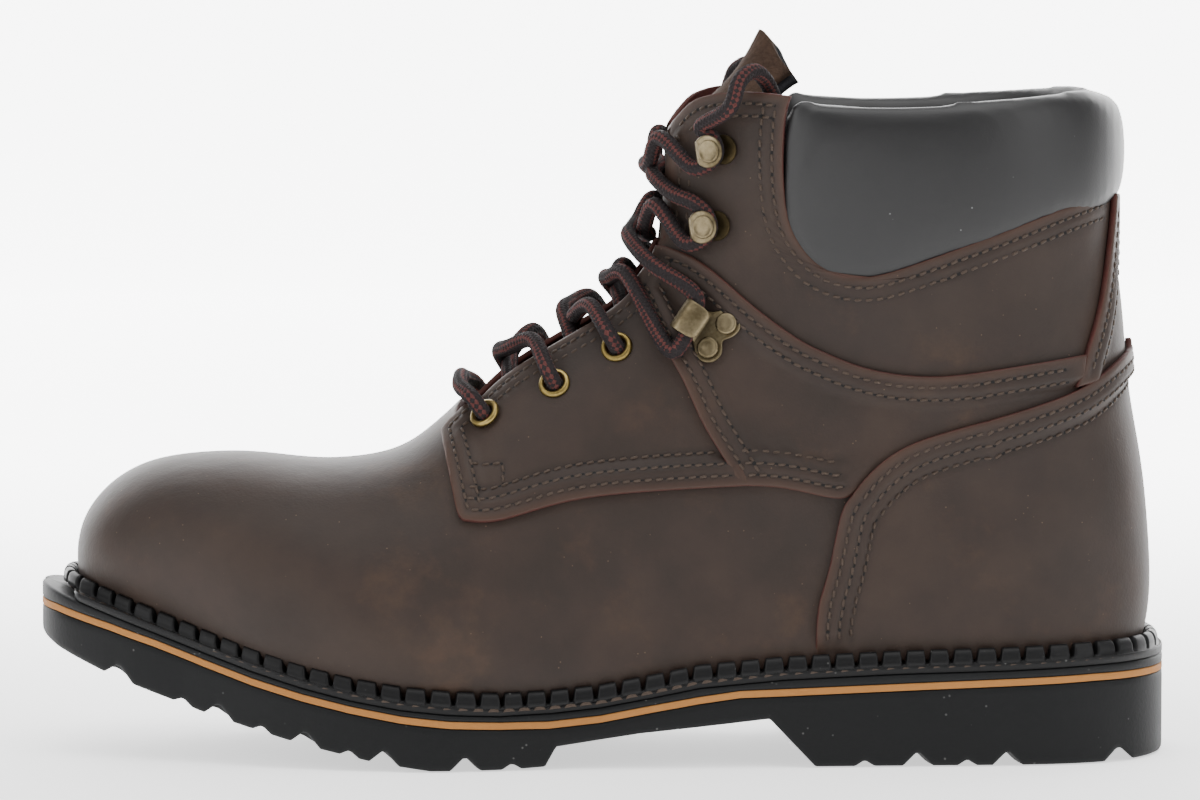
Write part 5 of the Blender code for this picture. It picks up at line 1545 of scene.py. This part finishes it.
def smooth_path(path, count):
    """The section's control points read as a closed smooth curve, by the natural spline of three copies."""
    rows = np.array(path)
    tripled = np.concatenate([rows, rows, rows])
    bends = spline_bends(tripled)
    at = len(rows) + np.linspace(0, len(rows), count, endpoint=False)
    cell = np.floor(at).astype(int)
    far = (at - cell)[:, None]
    near = 1 - far
    bend = (near ** 3 - near) * bends[cell] + (far ** 3 - far) * bends[cell + 1]
    return near * tripled[cell] + far * tripled[cell + 1] + bend / 6


def collar_borders(count):
    """The collar's low line, under the shaft's cut-out, and its top line, as places."""
    low = np.concatenate([line_seen(rounded(shifted([(49.6, 173)] + CUT_OUT[2:-1], 0.2, 0.5), 90)),
                          back_places(155.4, 155.4, 1)])
    top = np.concatenate([line_seen(rounded(COLLAR_TOP[:-1], 60)), back_places(182, 182, 1)])
    at = np.linspace(0, 1, count)
    return read_at(low, at), read_at(top, at), at


def collar_form(count=120, around=46, shrink=0.35):
    """Rings of skin(low + share x (top - low), offset), the offset scaled by the collar's local height."""
    low, top, at = collar_borders(count)
    tall = np.linalg.norm(last_point(top[:, 0], top[:, 1]) - last_point(low[:, 0], low[:, 1]), axis=-1)
    size = np.clip(tall / 28, 0.35, 1)
    path = smooth_path(COVER_PATH, around)
    share, offset = path[None, :, 0, None], path[None, :, 1]
    places = low[:, None] * (1 - share) + top[:, None] * share
    swell = 1 + 0.9 * np.clip((at[:, None] - 0.72) / 0.28, 0, 1) ** 1.5 * (offset > 0)
    scale = np.where(offset > 0, np.maximum(size[:, None], 1 - share[..., 0] / 0.3), size[:, None])
    pulled = offset * scale * swell - shrink * np.sign(offset + 2.5)
    half = skin(places, pulled)
    ends = np.clip(np.arange(count) / 4.0, 0, 1)[:, None, None]
    middle = half.mean(axis=1, keepdims=True)
    half = middle + (half - middle) * np.sqrt(1 - (1 - ends) ** 2 + 0.001)
    return half, np.concatenate([half, half[-2::-1] * np.array([1, -1, 1])])


def make_collar_mesh():
    half, whole = collar_form()
    columns, around = whole.shape[:2]
    caps = [tuple(range(around)), tuple(range(columns * around - 1, (columns - 1) * around - 1, -1))]
    faces = grid_faces(columns, around, closed=True).tolist() + caps
    return build("collar_padding", whole, faces, [COLLAR_FINISH])


def apply_modifiers(thing):
    """The mesh that the modifiers give, put in the modifiers' place."""
    done = bpy.data.meshes.new_from_object(thing.evaluated_get(bpy.context.evaluated_depsgraph_get()))
    old = thing.data
    thing.modifiers.clear()
    thing.data = done
    bpy.data.meshes.remove(old)


def points_of(mesh):
    points = np.empty(len(mesh.vertices) * 3)
    mesh.vertices.foreach_get("co", points)
    return points.reshape(-1, 3)


def blow_up(thing, pressure, most, held):
    """Cloth with air inside and no weight, run for 20 frames; held(points) is 1 where the sewn edge stays."""
    remesh = thing.modifiers.new("even", "REMESH")
    remesh.mode = "VOXEL"
    remesh.voxel_size = 0.0022
    apply_modifiers(thing)
    before = points_of(thing.data)
    group = thing.vertex_groups.new(name="sewn")
    pinned = held(before)
    for level in (0.25, 0.5, 0.75, 1.0):
        group.add(np.nonzero(np.abs(pinned - level) < 0.125)[0].tolist(), level, "REPLACE")
    cloth = thing.modifiers.new("cloth", "CLOTH")
    cloth.settings.use_pressure = True
    cloth.settings.uniform_pressure_force = pressure
    cloth.settings.vertex_group_mass = "sewn"
    cloth.settings.effector_weights.gravity = 0
    cloth.settings.quality = 5
    cloth.settings.tension_stiffness = 15
    cloth.settings.compression_stiffness = 15
    cloth.settings.bending_stiffness = 2.0
    scene = bpy.context.scene
    for number in range(1, 21):
        scene.frame_set(number)
    apply_modifiers(thing)
    moved = points_of(thing.data) - before
    far = np.linalg.norm(moved, axis=1, keepdims=True)
    moved *= np.minimum(1, most / np.maximum(far, 1e-9))
    thing.data.vertices.foreach_set("co", (before + moved).ravel())
    scene.frame_set(1)
    print(f"blown up: {len(before)} points, furthest {far.max() * 1000:.1f} mm")


def make_collar():
    piece = make_collar_mesh()
    low, _, _ = collar_borders(200)
    line = last_point(low[:, 0], low[:, 1])
    line = np.concatenate([line, line * np.array([1, -1, 1])])
    def held(points):
        flat = (points / MM - ORIGIN)
        parts = [np.linalg.norm(flat[k:k + 4000, None] - line[None], axis=-1).min(axis=1)
                 for k in range(0, len(flat), 4000)]
        return np.clip(1.6 - np.concatenate(parts) / 3.5, 0, 1)
    blow_up(piece, 4.0, 0.0022, held)
    piece.data.materials.clear()
    piece.data.materials.append(COLLAR_FINISH.material)
    piece.data.polygons.foreach_set("use_smooth", [True] * len(piece.data.polygons))
    finer = piece.modifiers.new("finer", "SUBSURF")
    finer.levels = finer.render_levels = 1
    belongs(piece, "boot", "collar_leather", "collar_cover", "collar_foam")


make_collar()

# %% [markdown]
# Brass. Antique brass is bright where it is rubbed and brown in its hollows, so the finish mixes two
# colours by soft noise and keeps a little unevenness in its gloss.

# %% Brass finish
def make_brass(name, bright, dull, roughness):
    brass = Finish(name, metallic=1.0)
    cloud = brass.noise(160.0, 4.0)
    scratch = brass.noise(900.0, 4.0)
    age = (cloud * 0.7 + scratch * 0.3).above(0.5, 0.22)
    brass.feed("Base Color", brass.blend(age, dull, bright))
    brass.feed("Roughness", roughness + (1 - age) * 0.14 + scratch * 0.06)
    brass.feed("Normal", brass.bump(brass.noise(420.0, 3.0), 0.12, 0.0004))
    return brass


BRASS = make_brass("antique_brass", linear(134, 122, 96), linear(80, 70, 50), 0.32)
EYELET_BRASS = make_brass("eyelet_brass", linear(158, 138, 84), linear(104, 88, 48), 0.26)
# A darker copy of the brass for the round hooks' bases: painted shade under each hook's face, where the lace passes
# behind it.
HOOK_BASE_SHADE_BRASS = make_brass("brass_painted_shade", linear(70, 60, 40), linear(38, 32, 22), 0.5)


def frame_at(spot, normal, towards):
    """Three unit axes: third along the normal, first as near to towards as it can be."""
    first = np.asarray(towards, float) - np.dot(towards, normal) * normal
    first /= np.linalg.norm(first)
    return np.stack([first, np.cross(normal, first), normal])


def lathe(profile, spot, axes, sides=40):
    """Ring points: spot + radius x (cosine x first + sine x second) + height x third."""
    profile = np.asarray(profile, float)
    angle = np.linspace(0, 2 * np.pi, sides, endpoint=False)
    ring = np.cos(angle)[None, :, None] * axes[0] + np.sin(angle)[None, :, None] * axes[1]
    return spot + profile[:, None, None, 0] * ring + profile[:, None, None, 1] * axes[2]


def together(name, grids, finishes, slots=None):
    """Several closed grids as one mesh; a closed grid joins its last row to its first."""
    points, faces, marks, start = [], [], [], 0
    for number, grid in enumerate(grids):
        columns, rows = grid.shape[:2]
        quads = grid_faces(columns, rows, closed=True, start=start)
        points.append(grid.reshape(-1, 3))
        faces.append(quads)
        marks.append(np.full(len(quads), slots[number] if slots else 0))
        start += columns * rows
    return build(name, np.concatenate(points), np.concatenate(faces), finishes, slots=np.concatenate(marks))


# %% [markdown]
# An eyelet is a short tube, rolled over on the outside into a round lip and crimped on the inside. Its
# profile is turned about the leather's normal at that spot.

# %% Eyelets
def half_circle(centre, radius, first, last, count=9):
    """Points of an arc: centre + radius x (cosine, sine) between two angles in degrees."""
    angle = np.radians(np.linspace(first, last, count))
    return [(centre[0] + radius * np.cos(a), centre[1] + radius * np.sin(a)) for a in angle]


def make_eyelets():
    for side, word in ((-1, "lateral"), (1, "medial")):
        for number, point in enumerate(EYELETS, 1):
            spot, normal = at_spot(point, side)
            rise = 0.9 if number == 1 else 0.0
            top = LEATHER_AT + THICK + rise + 0.15
            profile = (half_circle((3.45, top + 0.15), 0.95, 180, 10, 12) + [(4.45, top - 0.3), (3.2, top - 0.5),
                       (3.05, -2.2), (3.9, -2.5), (3.95, -2.8), (2.65, -2.9), (2.5, -2.4), (2.5, top + 0.15)])
            grid = lathe(profile, spot, frame_at(spot, normal, (0, 0, 1)))
            piece = together(f"brass_eyelet_{word}_{number}", [grid], [EYELET_BRASS])
            belongs(piece, "boot", "antique_brass", f"eyelet_{word}_{number}")


make_eyelets()

# %% [markdown]
# A speed hook is one strip of brass: a round base riveted to the leather, a fold on the throat side, and
# a round face folded back over the lace. Its face is a disc with a hollow cut on the fold's side, and
# a raised button in the middle.

# %% Round hooks
def disc_outline(radius, flat, hollow, count=72):
    """Circle of the radius; points beyond -flat on the first axis are drawn back to a shallow hollow there."""
    angle = np.linspace(0, 2 * np.pi, count, endpoint=False)
    x, y = radius * np.cos(angle), radius * np.sin(angle)
    bow = -flat + hollow * (1 - (y / radius) ** 2)
    return np.stack([np.where(x < bow, bow, x), y * np.where(x < bow, 1.04, 1.0)], -1)


def plate(outline, heights, spot, axes, middle=(0, 0)):
    """A closed plate: rows of the outline scaled towards its middle, each at its height; heights are (scale, height)."""
    middle = np.asarray(middle)
    rows = [middle + (outline - middle) * scale for scale, _ in heights]
    flat = np.stack(rows)
    level = np.array([rise for _, rise in heights])[:, None, None]
    return spot + flat[..., 0:1] * axes[0] + flat[..., 1:2] * axes[1] + level * axes[2]


def strap(bend, width, thick, spot, axes):
    """A bent strip: a centre line in the (first, third) plane, carried across by its width, with rounded sides."""
    bend = np.asarray(bend, float)
    run = np.gradient(bend, axis=0)
    run /= np.linalg.norm(run, axis=1, keepdims=True)
    out = np.stack([-run[:, 1], run[:, 0]], -1)
    angle = np.linspace(0, 2 * np.pi, 24, endpoint=False)
    across = np.sign(np.cos(angle)) * np.abs(np.cos(angle)) ** 0.35
    through = np.sign(np.sin(angle)) * np.abs(np.sin(angle)) ** 0.6
    width = np.broadcast_to(width, len(bend))[:, None]
    flat = bend[:, None] + out[:, None] * (through * thick / 2)[None, :, None]
    return (spot + flat[..., 0:1] * axes[0] + flat[..., 1:2] * axes[2]
            + (across[None] * width / 2)[..., None] * axes[1])


def closed_ends(grid):
    """The grid with its first and last rings drawn in to points, so the solid is closed."""
    first, last = grid[:1].mean(axis=1, keepdims=True), grid[-1:].mean(axis=1, keepdims=True)
    return np.concatenate([np.broadcast_to(first, grid[:1].shape), grid, np.broadcast_to(last, grid[:1].shape)])


def make_round_hooks():
    for side, word in ((-1, "lateral"), (1, "medial")):
        for number, point in enumerate(HOOKS, 2):
            spot, normal = at_spot(point, side)
            axes = frame_at(spot, normal, (1.0, 0.0, 0.12))
            base = plate(disc_outline(4.1, 9, 0), ((0, 2.5), (0.9, 2.5), (1.0, 2.7), (1.0, 3.1), (0.94, 3.3),
                                                    (0.5, 3.25), (0, 3.25)), spot + axes[0] * 2.2, axes)
            arc = np.radians(np.linspace(-90, -270, 15))
            bend = [(1.2, 3.3), (-0.5, 3.3)] + [(-1.2 + 2.6 * np.cos(a), 5.95 + 2.65 * np.sin(a)) for a in arc]
            fold = closed_ends(strap(bend + [(-0.4, 8.6), (0.8, 8.6)], 6.2, 0.8, spot, axes))
            face = plate(disc_outline(4.5, 3.6, 1.1), ((0, 8.5), (0.9, 8.5), (1.0, 8.7), (1.0, 9.05), (0.95, 9.3),
                                                       (0.84, 9.32), (0, 9.32)), spot + axes[0] * 0.8, axes)
            button = plate(disc_outline(3.15, 9, 0), ((1.0, 9.1), (1.0, 9.75), (0.93, 9.95), (0.82, 9.98),
                                                      (0.77, 9.8), (0.4, 9.86), (0, 9.9)), spot + axes[0] * 1.5, axes)
            button = np.concatenate([np.broadcast_to(button[:1].mean(axis=1, keepdims=True), button[:1].shape), button])
            # The base takes the darker brass: painted shade under the face.
            piece = together(f"brass_hook_{word}_{number}", [base, fold, face, button], [BRASS, HOOK_BASE_SHADE_BRASS],
                             [1, 0, 0, 0])
            belongs(piece, "boot", "antique_brass", f"hook_{word}_{number}")


make_round_hooks()

# %% [markdown]
# The lowest hook has to take the pull of the whole lacing, so its plate has two rounded lobes with a
# rivet in each. A wide tab turns up from the plate's front corner and folds back over the lace.

# %% Plate hooks
def closed_curve(points, count=96):
    return smooth_path(points, count)


PLATE_OUTLINE = [(-3.8, 3.9), (0.5, 4.2), (4.2, 3.6), (8.0, 4.3), (11.0, 2.4), (11.4, -1.2), (8.9, -3.6),
                 (6.6, -4.6), (6.4, -7.4), (4.4, -9.9), (1.0, -10.0), (-1.1, -7.6), (-1.8, -4.4), (-4.4, -2.0),
                 (-6.2, 0.2), (-5.9, 2.6)]


def make_plate_hooks():
    for side, word in ((-1, "lateral"), (1, "medial")):
        spot, normal = at_spot(PLATE_HOOK, side)
        flat = frame_at(spot, normal, (1.0, 0.0, 0.0))
        if np.dot(flat[1], (0, 0, 1)) < 0:
            flat[1] = -flat[1]
        outline = closed_curve(PLATE_OUTLINE)
        middle = (3.2, -2.0)
        bed = plate(outline, ((0, 3.0), (0.93, 3.0), (1.0, 3.3), (1.0, 3.75), (0.96, 4.0), (0.90, 3.8), (0.5, 3.8),
                              (0, 3.8)), spot, flat, middle)
        slant = frame_at(spot, normal, (0.83, 0.0, -0.56))
        arc = np.radians(np.linspace(-90, -265, 15))
        bend = [(1.6, 3.6), (-1.8, 3.6)] + [(-2.6 + 3.0 * np.cos(a), 6.9 + 3.3 * np.sin(a)) for a in arc]
        bend += [(-1.4, 10.2), (0.2, 10.1), (1.6, 9.8), (2.7, 9.2)]
        width = np.concatenate([np.full(len(bend) - 3, 9.2), [9.1, 8.4, 6.2]])
        tab = closed_ends(strap(bend, width, 0.9, spot, slant))
        piece = together(f"brass_hook_{word}_1", [bed, tab], [BRASS])
        belongs(piece, "boot", "antique_brass", f"hook_{word}_1")
        for number, point in enumerate(PLATE_RIVETS, 1):
            place, _ = at_spot(point, side)
            level = place - np.dot(place - spot, normal) * normal
            profile = [(0, 3.6), (2.9, 3.6), (3.0, 4.3), (2.9, 4.7), (2.6, 4.95), (2.2, 5.0), (2.0, 4.9), (1.2, 5.05), (0, 5.1)]
            head = lathe(profile, level, flat, 36)
            rivet = together(f"brass_rivet_{word}_{number}", [head], [BRASS])
            belongs(rivet, "boot", "antique_brass", f"rivet_{word}_{number}")


make_plate_hooks()

# %% [markdown]
# The tongue is suede outside and fabric inside. Low down it follows the last, under the lace; its free
# top leans back over the ankle and curls. Rows of points across it are joined by a spline, and the
# rim closes the two faces. It turns with its own body, so both pieces ride that.

# %% Tongue
TONGUE_ROWS = ((10.75, 6.2, 20), (11.3, 8.0, 21), (12.2, 8.4, 21.5), (13.3, 8.2, 22), (14.1, 8.5, 22),
               (14.9, 6.3, 22), (15.8, 4.2, 22), (17.0, 3.4, 22), (18.3, 3.4, 22), (19.4, 3.4, 21.5))
TONGUE_TOP = ((7.0, 7.5, 21.5, 0.75), (15.6, 17.0, 20.0, 0.5), (21.5, 27.6, 14.0, 0.3))


def tongue_face(depth, trim, columns=49, lines=130):
    """Rows across at given depths under the last, then rows shifted back and up from the last of them."""
    across = np.linspace(-1, 1, columns)
    rows = []
    for station, under, half in TONGUE_ROWS:
        places = at_width(np.full(columns, station), np.abs((half - trim) * across))
        places[:, 1] *= -np.sign(across)
        rows.append(skin(places, np.full(columns, -under - depth)))
    last, crown = rows[-1], rows[-1][columns // 2]
    for dx, dz, half, curve in TONGUE_TOP:
        lean = depth * min(dx / 12.0, 1)
        row = crown + (last - crown) * np.array([curve, 0, curve]) + (dx - 0.25 * lean, 0, dz - 0.8 * lean)
        row[:, 1] = (half - trim) * across
        rows.append(row)
    table = np.array(rows).reshape(len(rows), -1)
    bends = spline_bends(table)
    at = np.linspace(0, len(table) - 1, lines)
    cell = np.clip(np.floor(at).astype(int), 0, len(table) - 2)
    far = (at - cell)[:, None]
    near = 1 - far
    grid = near * table[cell] + far * table[cell + 1] + (
        (near ** 3 - near) * bends[cell] + (far ** 3 - far) * bends[cell + 1]) / 6
    grid = grid.reshape(lines, columns, 3)
    free = np.clip((at - 9.5) / 3, 0, 1)[:, None]
    curl = np.clip((at - 8.2) / 2.6, 0, 1)[:, None]
    ridge = np.sqrt(across ** 2 + 0.02) - 0.14
    grid[..., 0] += curl ** 2 * (3 - 2 * curl) * 3 * across ** 2 + free ** 3 * (5 * ridge + 2)
    grid[..., 0] += free * 0.7 * np.sin(across * 7 + 1) * np.sin(at * 1.9)[:, None]
    grid[..., 1] *= 1 - 0.25 * free ** 2
    grid[..., 2] += free ** 2 * (0.8 * np.cos(across * 4.2 + 0.6) - 12 * across ** 2 - 0.6)
    return grid


def make_suede(name, first, second, fuzz_size=900.0):
    suede = Finish(name, roughness=0.95, Specular_IOR_Level=0.1)
    cloud, fuzz = suede.noise(60.0, 4.0), suede.noise(fuzz_size, 4.0)
    suede.feed("Base Color", suede.blend((cloud * 0.6 + fuzz * 0.4).above(0.5, 0.2), first, second))
    suede.feed("Normal", suede.bump(fuzz, 0.5, 0.0005))
    return suede


SUEDE = make_suede("brown_suede", linear(44, 34, 28), linear(70, 54, 44))
TONGUE_FABRIC = make_suede("tongue_fabric", linear(26, 26, 28), linear(48, 48, 51), 1600.0)


def make_tongue():
    for name, depth, trim, finish, slot, node in (
            ("tongue_suede", 0.0, 0.0, SUEDE, "oiled_leather", "tongue"),
            ("tongue_inside", 3.0, 1.0, TONGUE_FABRIC, "lining_fabric", "tongue_lining")):
        outer, inner = tongue_face(depth, trim), tongue_face(depth + 1.9, trim)
        lines, columns = outer.shape[:2]
        size = lines * columns
        quads = np.concatenate([grid_faces(lines, columns), grid_faces(lines, columns, start=size)[:, ::-1],
                                rim_faces(lines, columns, size)])
        points = np.concatenate([outer.reshape(-1, 3), inner.reshape(-1, 3)])
        belongs(build(name, points, quads, [finish]), "tongue", slot, node)


make_tongue()

# %% [markdown]
# The parts inside the boot keep their plain solids. Each of them still gets a finish of its own, for
# they show when the tongue or the footbed is lifted: fabric, suede, board, cork, steel and rubber.

# %% Inside parts
def make_fabric(name, first, second, scale):
    """A knit: the larger of two sine waves across each other, so small loops stand proud."""
    fabric = Finish(name, roughness=0.9, Specular_IOR_Level=0.15)
    place = fabric.place()
    parts = [fabric.node("ShaderNodeSeparateXYZ", {}, {0: place}, out=k) for k in range(3)]
    loops = ((parts[0] + parts[1]) * scale).wave().size().most(((parts[2] - parts[0]) * scale).wave().size())
    fabric.feed("Base Color", fabric.blend(loops * fabric.noise(300.0), first, second))
    fabric.feed("Normal", fabric.bump(loops, 0.5, 0.0004))
    return fabric


def make_speckled(name, first, second, scale, roughness=0.9, metallic=0.0):
    finish = Finish(name, roughness=roughness, metallic=metallic)
    grains = finish.cells(scale, out="Color")
    shade = finish.node("ShaderNodeSeparateXYZ", {}, {0: grains}) * 0.6 + finish.noise(scale / 4, 4.0) * 0.4
    finish.feed("Base Color", finish.blend(shade, first, second))
    finish.feed("Normal", finish.bump(shade, 0.3, 0.0004))
    return finish


def dress(finish, *names):
    for name in names:
        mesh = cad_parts[name].data
        mesh.materials.clear()
        mesh.materials.append(finish.material)
        print("dressed", name)


LINING = make_fabric("knit_lining", linear(44, 42, 42), linear(84, 80, 78), 3800.0)
dress(LINING, "quarter_lining", "vamp_lining")
dress(SUEDE, "facing_stay_lateral", "facing_stay_medial")
dress(make_fabric("footbed_cover", linear(24, 24, 26), linear(58, 58, 62), 3000.0), "footbed")
dress(make_speckled("insole_board", linear(120, 100, 76), linear(150, 128, 100), 900.0), "insole_board")
dress(make_speckled("ground_cork", linear(96, 62, 36), linear(170, 124, 78), 420.0), "cork_filler")
dress(make_speckled("heel_board", linear(110, 92, 70), linear(140, 118, 92), 1100.0), "heel_counter")
dress(make_speckled("brushed_steel", linear(120, 122, 126), linear(165, 167, 170), 700.0, 0.35, 1.0), "shank",
      "toe_cap")
dress(make_speckled("trim_rubber", linear(22, 22, 23), linear(40, 40, 42), 800.0), "toe_cap_trim")
